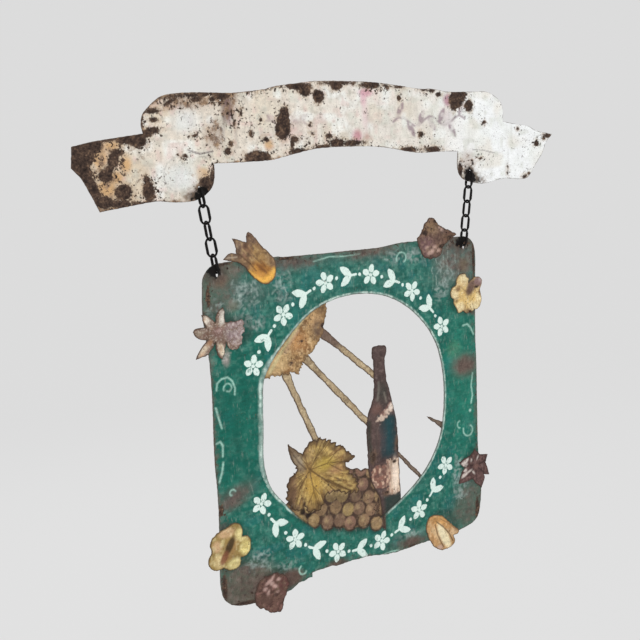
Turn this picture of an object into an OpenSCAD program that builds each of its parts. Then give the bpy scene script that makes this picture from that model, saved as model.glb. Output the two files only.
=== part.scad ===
// Hanging trade sign of painted sheet iron: a ribbon banner, two chains and a panel with an oval window.
// Front faces -Y. The origin is midway between the banner's two fixing holes, on its back face.

/* [Banner] */
// Width of the banner from tail to tail
banner_w = 915; // [860:1:1000]
// Height of the banner from its crown to the lower tail corner
banner_h = 180; // [170:1:200]
// Distance between the two fixing holes
fixing_spacing = 436; // [380:1:480]
// Diameter of the fixing holes
fixing_hole_d = 7; // [5:0.5:9]
// Distance between the banner's chain holes
banner_hole_spacing = 524; // [500:1:560]
// Drop from the fixing holes to the banner's chain holes
banner_hole_drop = 124; // [118:1:128]

/* [Panel] */
// Width of the panel without its flowers
panel_w = 536; // [500:1:580]
// Height of the panel without its flowers
panel_h = 554; // [530:1:600]
// Distance of a chain hole from the panel's side
panel_hole_side = 26; // [20:1:32]
// Distance of a chain hole from the panel's top
panel_hole_top = 18; // [16:1:22]
// Width of a ray of the sun
ray_w = 11; // [8:0.5:13]
// Size of the flowers: the width of the tulip, with the others in proportion
flower_size = 91; // [78:1:100]

/* [Sheet] */
// Thickness of the banner and the panel
sheet_t = 2; // [1.5:0.1:3]
// Thickness of the flowers, figures and rays
figure_t = 1.5; // [1:0.1:2.5]

/* [Chain] */
// Wire of the chain links
wire_d = 3.2; // [2.5:0.1:3.6]
// Inside length of a link
link_pitch = 25.5; // [22:0.5:32]
// Inside width of a link
link_inner_w = 11.6; // [10.5:0.1:14]
// Diameter of the chain holes
chain_hole_d = 10; // [8:0.5:12]

/* [Rivets] */
// Shank of a rivet
rivet_d = 4; // [3:0.5:5]
// Formed head of a rivet, across
rivet_head_d = 7; // [6:0.5:8.5]
// Height of a rivet's formed head
rivet_head_h = 1.6; // [1:0.1:2.2]
// Diameter of a packer under a ray end
packer_d = 15; // [12:0.5:17]

/* [Fits] */
// Room between two links that hang in each other
link_play = 0.3; // [0.2:0.05:0.5]
// Room between an end link and the edge of its sheet hole
hole_play = 0.5; // [0.4:0.05:0.8]
// Room round a rivet in its hole, across
rivet_fit = 0.1; // [0.05:0.05:0.2]
// Depth of a rivet's end below the front, filled and painted over
rivet_sink = 0.3; // [0.2:0.05:0.5]
// Seam between the grapes and the bottle
figure_seam = 0.6; // [0.4:0.1:1.2]

/* [Hidden] */
$fn = 48;
// Pieces of curve between two outline points
curve_steps = 4;
// How far a cutter runs past the faces that it cuts
cut_past = 1;
// Links in a chain
link_count = 5;

// Sizes at which the outlines below are drawn; the drawings stretch to the sizes above
// Banner: width, height and distance between the chain holes
banner_drawn = [915, 180, 524];
// Panel: width and height
panel_drawn = [536, 554];
// Flowers: width of the tulip
flower_drawn = [91];

// Depths, from the front of the sign to its back
panel_front = -sheet_t;
flower_front = -sheet_t - figure_t;
leaf_front = -figure_t;
figure_back = figure_t;
ray_back = 2 * figure_t;

// Chain: where the holes are, how far it reaches and how it leans
link_mid_r = (link_inner_w + wire_d) / 2;
link_straight = link_pitch + wire_d - 2 * link_mid_r;
link_step = link_pitch - link_play;
hole_reach = chain_hole_d / 2 - hole_play;
chain_reach = 2 * hole_reach + link_pitch + (link_count - 1) * link_step;
banner_hole_x = banner_hole_spacing / 2;
panel_hole_x = panel_w / 2 - panel_hole_side;
chain_run = banner_hole_x - panel_hole_x;
chain_drop = sqrt(chain_reach * chain_reach - chain_run * chain_run);
chain_lean = asin(chain_run / chain_reach);
// Height of the panel's top edge
panel_top = -banner_hole_drop - chain_drop + panel_hole_top;

// Outlines: points [x, z], joined by a smooth curve; a third value of 1 makes a sharp corner

// Ribbon, from the left tail's upper corner, clockwise; heights from the fixing holes
banner_outline = [
    [-450, -60, 1], [-420, -54], [-380, -49], [-344, -45, 1], [-346, -31], [-341, -16], [-318, 4],
    [-300, 10], [-250, 12], [-198, 11], [-142, 16], [-126, 20], [-74, 26], [-50, 28], [0, 28], [62, 26],
    [125, 19], [156, 15], [182, 15], [218, 10], [280, 10], [306, 9], [330, -3], [340, -16], [341, -42, 1],
    [375, -48], [402, -52], [420, -60], [462, -68, 1], [446, -82], [437, -100], [418, -122], [400, -143],
    [384, -146], [343, -143], [322, -145], [300, -149], [276, -148], [248, -140], [237, -129], [234, -112],
    [236, -91, 1], [187, -90], [159, -91], [131, -88], [80, -79], [40, -76], [-48, -76], [-105, -85],
    [-140, -91], [-235, -92, 1], [-235, -106], [-239, -124], [-252, -137], [-272, -145], [-305, -145],
    [-330, -142], [-386, -148], [-417, -152, 1], [-428, -128], [-438, -107], [-453, -89, 1]
];

// Panel, from its upper left corner, clockwise; heights from the panel's top
panel_outline = [
    [-268, -34], [-265, -20], [-256, -8], [-240, -1], [-142, 0], [-118, -2], [0, -3], [60, -3], [105, 1],
    [140, 1], [240, 1], [256, -4], [266, -17], [269, -38], [267, -90], [265, -150], [266, -270], [265, -390],
    [270, -456], [267, -500], [260, -520], [244, -530], [205, -536], [140, -538], [62, -540], [25, -534],
    [-20, -532], [-100, -532], [-125, -541], [-150, -551], [-205, -553], [-238, -550], [-258, -541],
    [-268, -524], [-270, -490], [-266, -415], [-265, -350], [-266, -300], [-263, -170], [-270, -80]
];

// Oval window, from its crown, clockwise
window_outline = [
    [0, -76], [42, -79], [82, -91], [120, -114], [150, -143], [170, -173], [183, -207], [189, -252],
    [188, -300], [180, -343], [162, -380], [135, -411], [100, -438], [62, -460], [30, -474], [0, -477],
    [-45, -467], [-95, -446], [-130, -421], [-150, -397], [-168, -373], [-178, -345], [-181, -312],
    [-178, -272], [-176, -228], [-172, -193], [-158, -168], [-130, -136], [-95, -106], [-62, -88], [-30, -79]
];

// Sun, from its right end on the window's edge, clockwise; its back rim laps behind the panel
sun_outline = [
    [-50, -68, 1], [-48, -84], [-49, -102], [-57, -130], [-66, -146], [-83, -163], [-96, -171],
    [-104, -182], [-110, -194, 1], [-118, -189], [-140, -190], [-188, -191, 1], [-170, -158], [-141, -124],
    [-104, -92], [-72, -75]
];

// Edge that the grapes and the bottle share, downwards
bunch_edge = [[21, -378, 1], [26, -400], [35, -420], [43, -436], [46, -462], [44, -491, 1]];

// Bottle, from its lower left, clockwise
bottle_side = [
    [21, -330], [22, -302], [27, -282], [35, -263], [39, -248], [40, -192], [38, -186], [38, -175],
    [41, -169], [63, -169], [68, -174], [67, -186], [64, -192], [66, -232], [71, -246], [77, -272],
    [83, -300], [85, -325], [86, -370], [88, -464, 1], [66, -481]
];

// Grapes, from the bottle's side leftwards over the bunch and behind the leaf, then along the panel's back
grapes_side = [
    [38, -489], [0, -492], [-49, -482], [-102, -461], [-142, -433], [-160, -411, 1], [-138, -399],
    [-130, -372], [-108, -348], [-96, -326], [-82, -312], [-62, -318], [-44, -336], [-30, -360, 1],
    [-22, -366], [-12, -372], [-2, -372], [6, -378, 1], [14, -376]
];

// Vine leaf, from the tip of its stem, clockwise
leaf_outline = [
    [-134, -305, 1], [-122, -315], [-108, -327, 1], [-100, -315], [-88, -308], [-76, -305], [-60, -310],
    [-40, -322], [-29, -328], [-22, -338], [-7, -350, 1], [-14, -355], [-26, -357, 1], [-25, -366],
    [-12, -380], [-2, -396], [0, -414, 1], [-20, -414], [-38, -405], [-54, -403], [-70, -407, 1],
    [-73, -420], [-80, -430, 1], [-92, -427], [-104, -428, 1], [-110, -410, 1], [-116, -420], [-126, -418],
    [-136, -409], [-142, -396], [-142, -380], [-136, -365], [-120, -349, 1], [-130, -330], [-134, -315]
];

// Stub of the broken ray, from its tip, clockwise
stub_outline = [
    [152, -310, 1], [170, -316], [187, -323], [203, -331, 1], [195, -350, 1], [180, -338], [166, -324]
];

// Rays: start and end of each centre line
upper_ray_line = [[-76, -116], [59, -233]];
middle_ray_line = [[-106, -155], [144, -428]];
lower_ray_line = [[-138, -172], [-73, -323]];

// Flowers: the middle of each on the panel
tulip_at = [-170, -5];
daisy_at = [-245, -105];
bud_at = [172, -5];
yellow_at = [245, -102];
star_at = [257, -420];
crocus_at = [172, -525];
pansy_at = [-250, -448];
worn_at = [-182, -540];

// Flower outlines, from their own middle
tulip_outline = [
    [-44, 40, 1], [-30, 36], [-20, 33, 1], [-19, 44], [-15, 48, 1], [-9, 43], [5, 27], [20, 11], [28, 2],
    [31, -11], [28, -26], [20, -33], [10, -35], [-1, -31], [-13, -21], [-23, -8], [-34, 1], [-48, 5],
    [-60, 9, 1], [-50, 17], [-38, 16, 1], [-38, 24]
];
daisy_outline = [
    [-5, 15, 1], [-4, 25], [2, 33], [9, 37, 1], [11, 30], [10, 21], [11, 14, 1], [22, 13], [33, 13],
    [40, 16, 1], [43, 6], [43, -4], [38, -9, 1], [38, -18], [33, -27], [24, -31], [15, -27], [10, -17, 1],
    [8, -26], [6, -36], [2, -43, 1], [-4, -37], [-7, -27], [-8, -15, 1], [-14, -24], [-24, -33],
    [-42, -37, 1], [-37, -28], [-29, -18], [-19, -9, 1], [-28, -9], [-37, -5], [-44, 5, 1], [-40, 9],
    [-30, 10], [-22, 10, 1], [-26, 19], [-28, 29, 1], [-20, 28], [-12, 21]
];
bud_outline = [
    [-32, 6], [-20, 27], [-8, 41], [0, 43], [8, 40], [15, 32], [28, 24], [40, 19], [54, 11, 1], [40, 3],
    [24, -7], [18, -20], [3, -26], [-10, -26], [-20, -22], [-25, -12]
];
yellow_outline = [
    [-19, 32], [-13, 37], [0, 37], [6, 29], [6, 20, 1], [16, 27], [24, 29], [36, 24], [37, 14],
    [33, 5, 1], [35, -13], [30, -25], [20, -32], [7, -34], [-18, -32], [-24, -23], [-31, -12], [-35, 0],
    [-34, 11], [-26, 19, 1]
];
crocus_outline = [
    [-33, 13], [-28, 29], [-17, 33], [-2, 30], [13, 18], [28, 3], [41, -9], [38, -15], [28, -16, 1],
    [31, -27], [25, -34], [14, -37], [0, -37], [-12, -31], [-24, -16], [-31, -1]
];
pansy_outline = [
    [-35, 13], [-29, 22], [-17, 29, 1], [-5, 33], [10, 37], [20, 32], [24, 21], [22, 13, 1], [33, 10],
    [37, 0], [35, -12], [28, -20], [18, -22, 1], [16, -32], [5, -39], [-7, -37], [-14, -31, 1], [-23, -33],
    [-33, -29], [-39, -20], [-37, -9], [-33, -3, 1]
];
worn_outline = [
    [-31, -6], [-25, 14], [-8, 26], [10, 27], [28, 18], [34, 2], [28, -13, 1], [23, -25], [18, -37],
    [8, -40], [-4, -36], [-15, -27, 1], [-26, -21]
];

// Petals of the star flower: direction in degrees, reach and width of each
star_petals = [[26, 32, 15], [92, 30, 15], [162, 40, 15], [214, 48, 17], [286, 48, 17], [323, 40, 12]];
star_core_r = 17;
// How far out a petal is widest, as a part of its reach
petal_widest = 0.55;

// Rivets of the flowers: two to each, from the flower's middle
tulip_rivets = [[8, -19], [-8, -12]];
daisy_rivets = [[-4, 3], [20, -2]];
bud_rivets = [[-10, -14], [8, -14]];
yellow_rivets = [[-14, -8], [4, -18]];
star_rivets = [[-9, 5], [-9, -8]];
crocus_rivets = [[-16, 14], [2, 12]];
pansy_rivets = [[12, 2], [2, -16]];
worn_rivets = [[-8, 11], [12, 11]];

// Rivets of the figures, on the panel's drawing
sun_rivets = [[-164, -163], [-135, -130], [-99, -98]];
bottle_rivets = [[78, -460], [58, -473]];
grapes_rivets = [[-125, -437], [-74, -464], [-10, -485]];
leaf_rivets_at = [[-60, -372], [-104, -394]];

// Rivets of the rays: on the sun, on the bottle or leaf, on the panel
ray_sun_rivets = [[-69, -122], [-98, -164], [-134, -181]];
ray_bottle_rivets = [[52, -227], [52, -327]];
ray_leaf_rivets = [[-78, -311]];
ray_panel_rivets = [[137, -420], [190, -337]];

// Stretches a point of the banner's drawing: the band between the chain holes goes with their distance,
// the tails with the banner's width
function tail_stretch(x) =
    (x - banner_drawn[2] / 2) * (banner_w - banner_hole_spacing) / (banner_drawn[0] - banner_drawn[2]);
function along_banner(x) =
    x < banner_drawn[2] / 2 ? x * banner_hole_spacing / banner_drawn[2] : banner_hole_x + tail_stretch(x);
function on_banner(p) = [sign(p[0]) * along_banner(abs(p[0])), p[1] * banner_h / banner_drawn[1]];
// Stretches a point of the panel's drawing to the panel's size and sets it at the panel's height
function on_panel(p) = [p[0] * panel_w / panel_drawn[0], panel_top + p[1] * panel_h / panel_drawn[1]];
// A point of a flower, from its middle on the panel's drawing
function on_flower(middle, p) = on_panel(middle) + [p[0], p[1]] * flower_size / flower_drawn[0];
// Keeps a point's corner mark with its new place
function marked(p, q) = len(q) > 2 ? [p[0], p[1], q[2]] : p;

function banner_points(outline) = [for (q = outline) marked(on_banner(q), q)];
function panel_points(outline) = [for (q = outline) marked(on_panel(q), q)];
function flower_points(middle, outline) = [for (q = outline) marked(on_flower(middle, q), q)];
function flower_places(middle, places) = [for (q = places) on_flower(middle, q)];
function panel_places(places) = [for (q = places) on_panel(q)];
function moved(points, x, z) = [for (q = points) marked([q[0] + x, q[1] + z], q)];
function backwards(points) = [for (i = [len(points) - 1:-1:0]) points[i]];

// A petal flower's outline: valley, right side, tip, left side of each petal in turn
function turned(r, side, a) = [r * cos(a) - side * sin(a), r * sin(a) + side * cos(a)];
function valley_angle(petals, i) =
    i == 0 ? (petals[0][0] + petals[len(petals) - 1][0] - 360) / 2 : (petals[i][0] + petals[i - 1][0]) / 2;
function corner(p) = [p[0], p[1], 1];
function petal_outline(petals, core_r) = [
    for (i = [0:len(petals) - 1])
        let (a = petals[i][0], reach = petals[i][1], half = petals[i][2] / 2)
        each [
            corner(turned(core_r, 0, valley_angle(petals, i))),
            turned(reach * petal_widest, -half, a),
            corner(turned(reach, 0, a)),
            turned(reach * petal_widest, half, a)
        ]
];

// Smooth closed curve through the points, with straight runs between two corners
function flat(p) = [p[0], p[1]];
function is_corner(p) = len(p) > 2;
function unit(v) = v / norm(v);
function heading(p, i) = unit(flat(p[(i + 1) % len(p)]) - flat(p[(i + len(p) - 1) % len(p)]));
function between(a, b, leave, arrive, t) =
    (2 * t * t * t - 3 * t * t + 1) * a + (t * t * t - 2 * t * t + t) * leave
    + (3 * t * t - 2 * t * t * t) * b + (t * t * t - t * t) * arrive;
function smooth(p) = [
    for (i = [0:len(p) - 1])
        let (
            j = (i + 1) % len(p),
            a = flat(p[i]),
            b = flat(p[j]),
            leave = is_corner(p[i]) ? b - a : heading(p, i) * norm(b - a),
            arrive = is_corner(p[j]) ? b - a : heading(p, j) * norm(b - a),
            steps = is_corner(p[i]) && is_corner(p[j]) ? 1 : curve_steps
        )
        for (k = [0:steps - 1]) between(a, b, leave, arrive, k / steps)
];

// A sheet of thickness t cut along an outline, its front face at y = front
module sheet(points, front, t) {
    translate([0, front + t, 0])
        rotate([90, 0, 0])
            linear_extrude(height = t)
                polygon(smooth(points));
}

// A hole along Y through everything between two depths
module drill(place, d, front, back) {
    translate([place[0], back + cut_past, place[1]])
        rotate([90, 0, 0])
            cylinder(d = d, h = back - front + 2 * cut_past);
}

module drills(places, d, front, back) {
    for (place = places) drill(place, d, front, back);
}

// A rivet along Y: sunk at the front, with a formed head on the back
module rivet(place, front, back) {
    translate([place[0], back, place[1]]) {
        rotate([90, 0, 0])
            cylinder(d = rivet_d, h = back - front - rivet_sink);
        rotate([-90, 0, 0])
            cylinder(d1 = rivet_head_d, d2 = rivet_d, h = rivet_head_h);
    }
}

module rivets(places, front, back) {
    for (place = places) rivet(place, front, back);
}

rivet_hole_d = rivet_d + rivet_fit;

// Places of all the rivets, on the sign
flower_rivet_places = concat(
    flower_places(tulip_at, tulip_rivets), flower_places(daisy_at, daisy_rivets),
    flower_places(bud_at, bud_rivets), flower_places(yellow_at, yellow_rivets),
    flower_places(star_at, star_rivets), flower_places(crocus_at, crocus_rivets),
    flower_places(pansy_at, pansy_rivets), flower_places(worn_at, worn_rivets)
);
figure_rivet_places = panel_places(concat(sun_rivets, bottle_rivets, grapes_rivets));
ray_panel_places = panel_places(ray_panel_rivets);

// Chain holes: left and right
banner_holes = [for (side = [-1, 1]) [side * banner_hole_x, -banner_hole_drop]];
panel_holes = [for (side = [-1, 1]) [side * panel_hole_x, panel_top - panel_hole_top]];
fixing_holes = [for (side = [-1, 1]) [side * fixing_spacing / 2, 0]];

module banner() {
    color("ivory")
        difference() {
            sheet(banner_points(banner_outline), -sheet_t, sheet_t);
            drills(banner_holes, chain_hole_d, -sheet_t, 0);
            drills(fixing_holes, fixing_hole_d, -sheet_t, 0);
        }
}

module panel() {
    color("seagreen")
        difference() {
            sheet(panel_points(panel_outline), panel_front, sheet_t);
            sheet(panel_points(window_outline), panel_front - cut_past, sheet_t + 2 * cut_past);
            drills(panel_holes, chain_hole_d, panel_front, 0);
            drills(flower_rivet_places, rivet_hole_d, panel_front, 0);
            drills(figure_rivet_places, rivet_hole_d, panel_front, 0);
            drills(ray_panel_places, rivet_hole_d, panel_front, 0);
        }
}

// A flower lies on the panel's front and is riveted to it
module flower(middle, outline, places) {
    difference() {
        sheet(flower_points(middle, outline), flower_front, figure_t);
        drills(flower_places(middle, places), rivet_hole_d, flower_front, panel_front);
    }
}

module tulip() {
    color("darkorange") flower(tulip_at, tulip_outline, tulip_rivets);
}

module daisy() {
    color("mistyrose") flower(daisy_at, daisy_outline, daisy_rivets);
}

module bud() {
    color("rosybrown") flower(bud_at, bud_outline, bud_rivets);
}

module yellow_flower() {
    color("khaki") flower(yellow_at, yellow_outline, yellow_rivets);
}

module star_flower() {
    color("maroon") flower(star_at, petal_outline(star_petals, star_core_r), star_rivets);
}

module crocus() {
    color("sandybrown") flower(crocus_at, crocus_outline, crocus_rivets);
}

module pansy() {
    color("gold") flower(pansy_at, pansy_outline, pansy_rivets);
}

module worn_flower() {
    color("sienna") flower(worn_at, worn_outline, worn_rivets);
}

module sun() {
    color("peru")
        difference() {
            sheet(panel_points(sun_outline), 0, figure_t);
            drills(panel_places(sun_rivets), rivet_hole_d, 0, figure_back);
            drills(panel_places(ray_sun_rivets), rivet_hole_d, 0, figure_back);
        }
}

module bottle() {
    foot = backwards(moved(bunch_edge, figure_seam, 0));
    color("dimgray")
        difference() {
            sheet(panel_points(concat(foot, bottle_side)), 0, figure_t);
            drills(panel_places(bottle_rivets), rivet_hole_d, 0, figure_back);
            drills(panel_places(ray_bottle_rivets), rivet_hole_d, 0, figure_back);
        }
}

module grapes() {
    color("darkolivegreen")
        difference() {
            sheet(panel_points(concat(bunch_edge, grapes_side)), 0, figure_t);
            drills(panel_places(grapes_rivets), rivet_hole_d, 0, figure_back);
            drills(panel_places(leaf_rivets_at), rivet_hole_d, 0, figure_back);
            drills(panel_places(ray_leaf_rivets), rivet_hole_d, 0, figure_back);
        }
}

// The leaf stands in the window, in front of the grapes' sheet
module vine_leaf() {
    color("goldenrod")
        difference() {
            sheet(panel_points(leaf_outline), leaf_front, figure_t);
            drills(panel_places(leaf_rivets_at), rivet_hole_d, leaf_front, 0);
            drills(panel_places(ray_leaf_rivets), rivet_hole_d, leaf_front, 0);
        }
}

// A ray is a straight strip behind the figures
module ray(line, places) {
    start = on_panel(line[0]);
    end = on_panel(line[1]);
    side = unit([start[1] - end[1], end[0] - start[0]]) * ray_w / 2;
    difference() {
        sheet([corner(start + side), corner(end + side), corner(end - side), corner(start - side)],
            figure_back, figure_t);
        drills(panel_places(places), rivet_hole_d, figure_back, ray_back);
    }
}

module upper_ray() {
    color("burlywood") ray(upper_ray_line, [ray_sun_rivets[0], ray_bottle_rivets[0]]);
}

module middle_ray() {
    color("burlywood") ray(middle_ray_line, [ray_sun_rivets[1], ray_bottle_rivets[1], ray_panel_rivets[0]]);
}

module lower_ray() {
    color("burlywood") ray(lower_ray_line, [ray_sun_rivets[2], ray_leaf_rivets[0]]);
}

module ray_stub() {
    color("burlywood")
        difference() {
            sheet(panel_points(stub_outline), figure_back, figure_t);
            drill(ray_panel_places[1], rivet_hole_d, figure_back, ray_back);
        }
}

// Packers fill the step between the panel's back and a ray's end
module packers() {
    color("dimgray")
        for (place = ray_panel_places)
            difference() {
                translate([place[0], figure_back, place[1]])
                    rotate([90, 0, 0])
                        cylinder(d = packer_d, h = figure_t);
                drill(place, rivet_hole_d, 0, figure_back);
            }
}

module flower_rivets() {
    color("dimgray") rivets(flower_rivet_places, flower_front, 0);
}

module figure_rivets() {
    color("dimgray") rivets(figure_rivet_places, panel_front, figure_back);
}

module leaf_rivets() {
    color("dimgray") rivets(panel_places(leaf_rivets_at), leaf_front, figure_back);
}

module ray_rivets() {
    color("dimgray") {
        rivets(panel_places(ray_sun_rivets), 0, ray_back);
        rivets(panel_places(ray_bottle_rivets), 0, ray_back);
        rivets(panel_places(ray_leaf_rivets), leaf_front, ray_back);
        rivets(ray_panel_places, panel_front, ray_back);
    }
}

// One end of a link: a half ring, opening downwards
module link_end() {
    rotate([90, 0, 0])
        rotate_extrude(angle = 180)
            translate([link_mid_r, 0])
                circle(d = wire_d);
}

// A link about its own middle, standing in the XZ plane
module link_ring() {
    translate([0, 0, link_straight / 2]) link_end();
    rotate([0, 180, 0])
        translate([0, 0, link_straight / 2]) link_end();
    for (side = [-1, 1])
        translate([side * link_mid_r, 0, -link_straight / 2])
            cylinder(d = wire_d, h = link_straight);
}

// Link k of the chain on one side (-1 left, 1 right); odd links stand square to the sheets
module chain_link(side, k) {
    along = hole_reach + link_pitch / 2 + (k - 1) * link_step;
    color("#26211e")
        translate([side * banner_hole_x, -sheet_t / 2, -banner_hole_drop])
            rotate([0, side * chain_lean, 0])
                translate([0, 0, -along])
                    rotate([0, 0, k % 2 == 1 ? 90 : 0])
                        link_ring();
}

banner();
panel();
tulip();
daisy();
bud();
yellow_flower();
star_flower();
crocus();
pansy();
worn_flower();
sun();
upper_ray();
middle_ray();
lower_ray();
ray_stub();
bottle();
grapes();
vine_leaf();
packers();
flower_rivets();
figure_rivets();
leaf_rivets();
ray_rivets();
for (k = [1:link_count]) {
    chain_link(-1, k);
    chain_link(1, k);
}
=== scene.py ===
import math

import bpy
import numpy as np
from mathutils import Matrix, Vector
from mathutils.geometry import delaunay_2d_cdt
from mathutils.kdtree import KDTree


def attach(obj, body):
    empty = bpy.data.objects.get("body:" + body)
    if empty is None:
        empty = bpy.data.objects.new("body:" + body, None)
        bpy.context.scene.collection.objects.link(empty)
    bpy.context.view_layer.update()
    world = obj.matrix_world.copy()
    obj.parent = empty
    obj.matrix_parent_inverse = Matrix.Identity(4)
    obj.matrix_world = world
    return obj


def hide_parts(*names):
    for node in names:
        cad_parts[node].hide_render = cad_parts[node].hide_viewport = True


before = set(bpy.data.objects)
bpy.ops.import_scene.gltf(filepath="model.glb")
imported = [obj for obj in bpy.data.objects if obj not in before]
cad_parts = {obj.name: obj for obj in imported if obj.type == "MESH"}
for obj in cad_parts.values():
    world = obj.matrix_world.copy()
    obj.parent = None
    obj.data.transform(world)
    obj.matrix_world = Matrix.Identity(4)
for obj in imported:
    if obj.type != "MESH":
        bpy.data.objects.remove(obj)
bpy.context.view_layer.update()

# Looks of the hanging trade sign: painted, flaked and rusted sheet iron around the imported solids.
# Lengths below are in millimetres; Blender's are in metres
MM = 0.001

# Heights in the paint lists are counted from this height of the sign
PAINT_ZERO = -350.0

# A shape's value at points well outside it, and the lowest value of several ovals together
OUTSIDE = -30.0
FAR_OUTSIDE = -60.0

# Random patches repeat after this many of their own sizes
MOTTLE_SIDE = 64

# Reading the solids: what counts as flat, and how the outlines are divided
FLAT = 0.01
OUTLINE_STEP = 2.5
OUTLINE_LEAST = 0.7
EDGE_STEP = 0.5
POINTS_AT_ONCE = 3000

# The cut edge: how uneven it is and over what length, its rounding, and how far its wear can reach
CUT_ROUGHNESS = 0.3
CUT_LENGTH = 4.0
CHAMFER = 0.8
CHAMFER_DEPTH = 0.35
CHAMFER_LEAST = CHAMFER * 0.8
EDGE_REACH = 40.0
SHARP_ANGLE = 50.0

# How close the points on the sheets are
BANNER_SPACING = 2.0
PANEL_SPACING = 1.8
FIGURE_SPACING = 1.3
FINE_SPACING = 1.2
BACK_SPACING = 12.0
BACK_ROOM = BACK_SPACING * 0.4

# Holes: rivets fill those up to the first size; rust narrows those up to the last
RIVET_HOLE_MOST = 5.0
CHAIN_HOLE_LEAST = 8.0
HOLE_MOST = 15.0

# What rust leaves open of each hole, and how far it shifts the opening
PANEL_HOLE_OPEN = (0.40, 0.86)
PANEL_HOLE_SHIFT = (0.0, 0.7)
BANNER_HOLE_OPEN = (0.42, 0.5)
BANNER_HOLE_SHIFT = (0.0, -2.35)
FIXING_HOLE_OPEN = 0.35

# The colour of soot and painted shade, most of it round the chain holes
SOOT_AND_SHADE = (17, 14, 13)

# An oval just outside the window's rim, and the panel's uneven lower edge with its ledge
WINDOW = (6, -160, 205, 214)
LOW_EDGE = -405
LOW_EDGE_REACH = 170
LEDGE_ENDS = (-128, -103)
LEDGE_DROP = 7.5

# The oval on which the garland runs, the first angle and the step of its two arcs, and its motifs
GARLAND_MIDDLE = (3.0, -166.0)
GARLAND_REACH = (218.0, 233.0)
GARLAND_DROP = 6.0
GARLAND_ARCS = ((152, -12), (208, 12))
GARLAND_COUNT = 11
MOTIF_REACH = 32

# The bunch of grapes: one grape, and the sloping rows
GRAPE_SIZE = 12.6
GRAPE_PITCH = 25.3
GRAPE_ROW = 22
GRAPE_LEAN = -14
GRAPE_START = (-168.5, -240.5)
GRAPE_DOME = 1.3

# Between these the lowest grapes hang over the window's rim; from the last on they lie in shade
LOW_GRAPES_LEFT = -130
LOW_GRAPES_RIGHT = 51
LOW_GRAPES_SHADE = 44

# Where the rays leave the sun, and how far they flare there
RAY_STARTS = [(-127, -84), (-90, -60), (-54, -30)]
RAY_FLARE = 2.6

# Rust on the straight sides of a chain link, where along its half length it thins out, and its lumps
LINK_CRUST = 0.6
LINK_SIDE = (0.40, 0.68)
LINK_LUMP = 3.0

# Rivet heads: how finely they are made, their size, and how far they sit in the sheet
RIVET_RINGS = 6
RIVET_SIDES = 24
RIVET_RADIUS = 3.5
RIVET_HEIGHT = 2.2
RIVET_SOLID_HEIGHT = 1.6
RIVET_SUNK = 0.6
RIVET_APART = 6.0
RIVET_TOP = 0.05

# Camera of the photograph
CAMERA_AIM = (-0.06183, 0.0, -0.350)
CAMERA_DISTANCE = 1.62
CAMERA_YAW = 32.0
CAMERA_PITCH = 9.132
CAMERA_ROLL = -2.785
CAMERA_LENS = 56.25
CAMERA_SENSOR = 36.0

# Stage: the background's grey, the floor, which is partly lit by itself, and the studio's light
BACKGROUND = 0.716
FLOOR_SIZE = 60
FLOOR_HEIGHT = -1.35
FLOOR_SHARE = 0.88
FLOOR_GLOW = 0.76
STUDIO_LIGHT = 0.55

# Lamps, with their places and powers
LAMP_AIM = (0, 0, -0.4)
LAMP_SIZE = 1.6
LAMPS = [
    ("key lamp", (-1.3, -2.3, 0.9), 44),
    ("fill lamp", (2.2, -1.6, 0.2), 10),
    ("back lamp", (0.5, 2.2, 1.0), 32),
]


def shade(red, green, blue):
    """A colour read as screen values from 0 to 255, as the linear colour that Blender uses."""
    out = []
    for value in (red, green, blue):
        part = value / 255.0
        out.append(part / 12.92 if part <= 0.04045 else ((part + 0.055) / 1.055) ** 2.4)
    return np.array(out)


def step_up(low, high, value):
    """Rises smoothly from 0 at low to 1 at high."""
    part = np.clip((value - low) / (high - low), 0.0, 1.0)
    return part * part * (3.0 - 2.0 * part)


def around(middle_x, middle_z, reach, turn):
    """The point at this reach and angle from a middle."""
    angle = math.radians(turn)
    return middle_x + reach * math.cos(angle), middle_z + reach * math.sin(angle)


# Shapes of paint: each gives millimetres, above zero inside the shape

def turned(x, z, middle_x, middle_z, turn):
    """Places measured along and across a direction from a middle."""
    angle = math.radians(turn)
    dx, dz = x - middle_x, z - middle_z
    along = dx * math.cos(angle) + dz * math.sin(angle)
    across = dz * math.cos(angle) - dx * math.sin(angle)
    return along, across


def spot(x, z, middle_x, middle_z, reach_x, reach_z, turn=0.0):
    """An oval."""
    along, across = turned(x, z, middle_x, middle_z, turn)
    return (1.0 - np.sqrt((along / reach_x) ** 2 + (across / reach_z) ** 2)) * min(reach_x, reach_z)


def spots(x, z, ovals):
    """The union of several ovals."""
    best = np.full(x.shape, FAR_OUTSIDE)
    for oval in ovals:
        best = np.maximum(best, spot(x, z, *oval))
    return best


def box(x, z, left, right, low, high):
    """An upright rectangle."""
    return np.minimum(np.minimum(x - left, right - x), np.minimum(high - z, z - low))


def stroke(x, z, points, width):
    """A brush stroke along a row of points."""
    nearest = np.full(x.shape, 1e9)
    for (ax, az), (bx, bz) in zip(points[:-1], points[1:]):
        dx, dz = bx - ax, bz - az
        along = np.clip(((x - ax) * dx + (z - az) * dz) / (dx * dx + dz * dz), 0.0, 1.0)
        nearest = np.minimum(nearest, np.hypot(x - ax - along * dx, z - az - along * dz))
    return width / 2.0 - nearest


def almond(x, z, middle_x, middle_z, length, width, turn):
    """A pointed leaf or petal: where two circles meet."""
    along, across = turned(x, z, middle_x, middle_z, turn)
    radius = (length * length + width * width) / (4.0 * width)
    offset = radius - width / 2.0
    return radius - np.maximum(np.hypot(along, across - offset), np.hypot(along, across + offset))


def curl(middle_x, middle_z, radius, start, end):
    """Points of an arc, from one angle to another, its radius shrinking a little."""
    count = 14
    points = []
    for k in range(count + 1):
        part = k / count
        points.append(around(middle_x, middle_z, radius * (1.0 - 0.35 * part), start + (end - start) * part))
    return points


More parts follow.
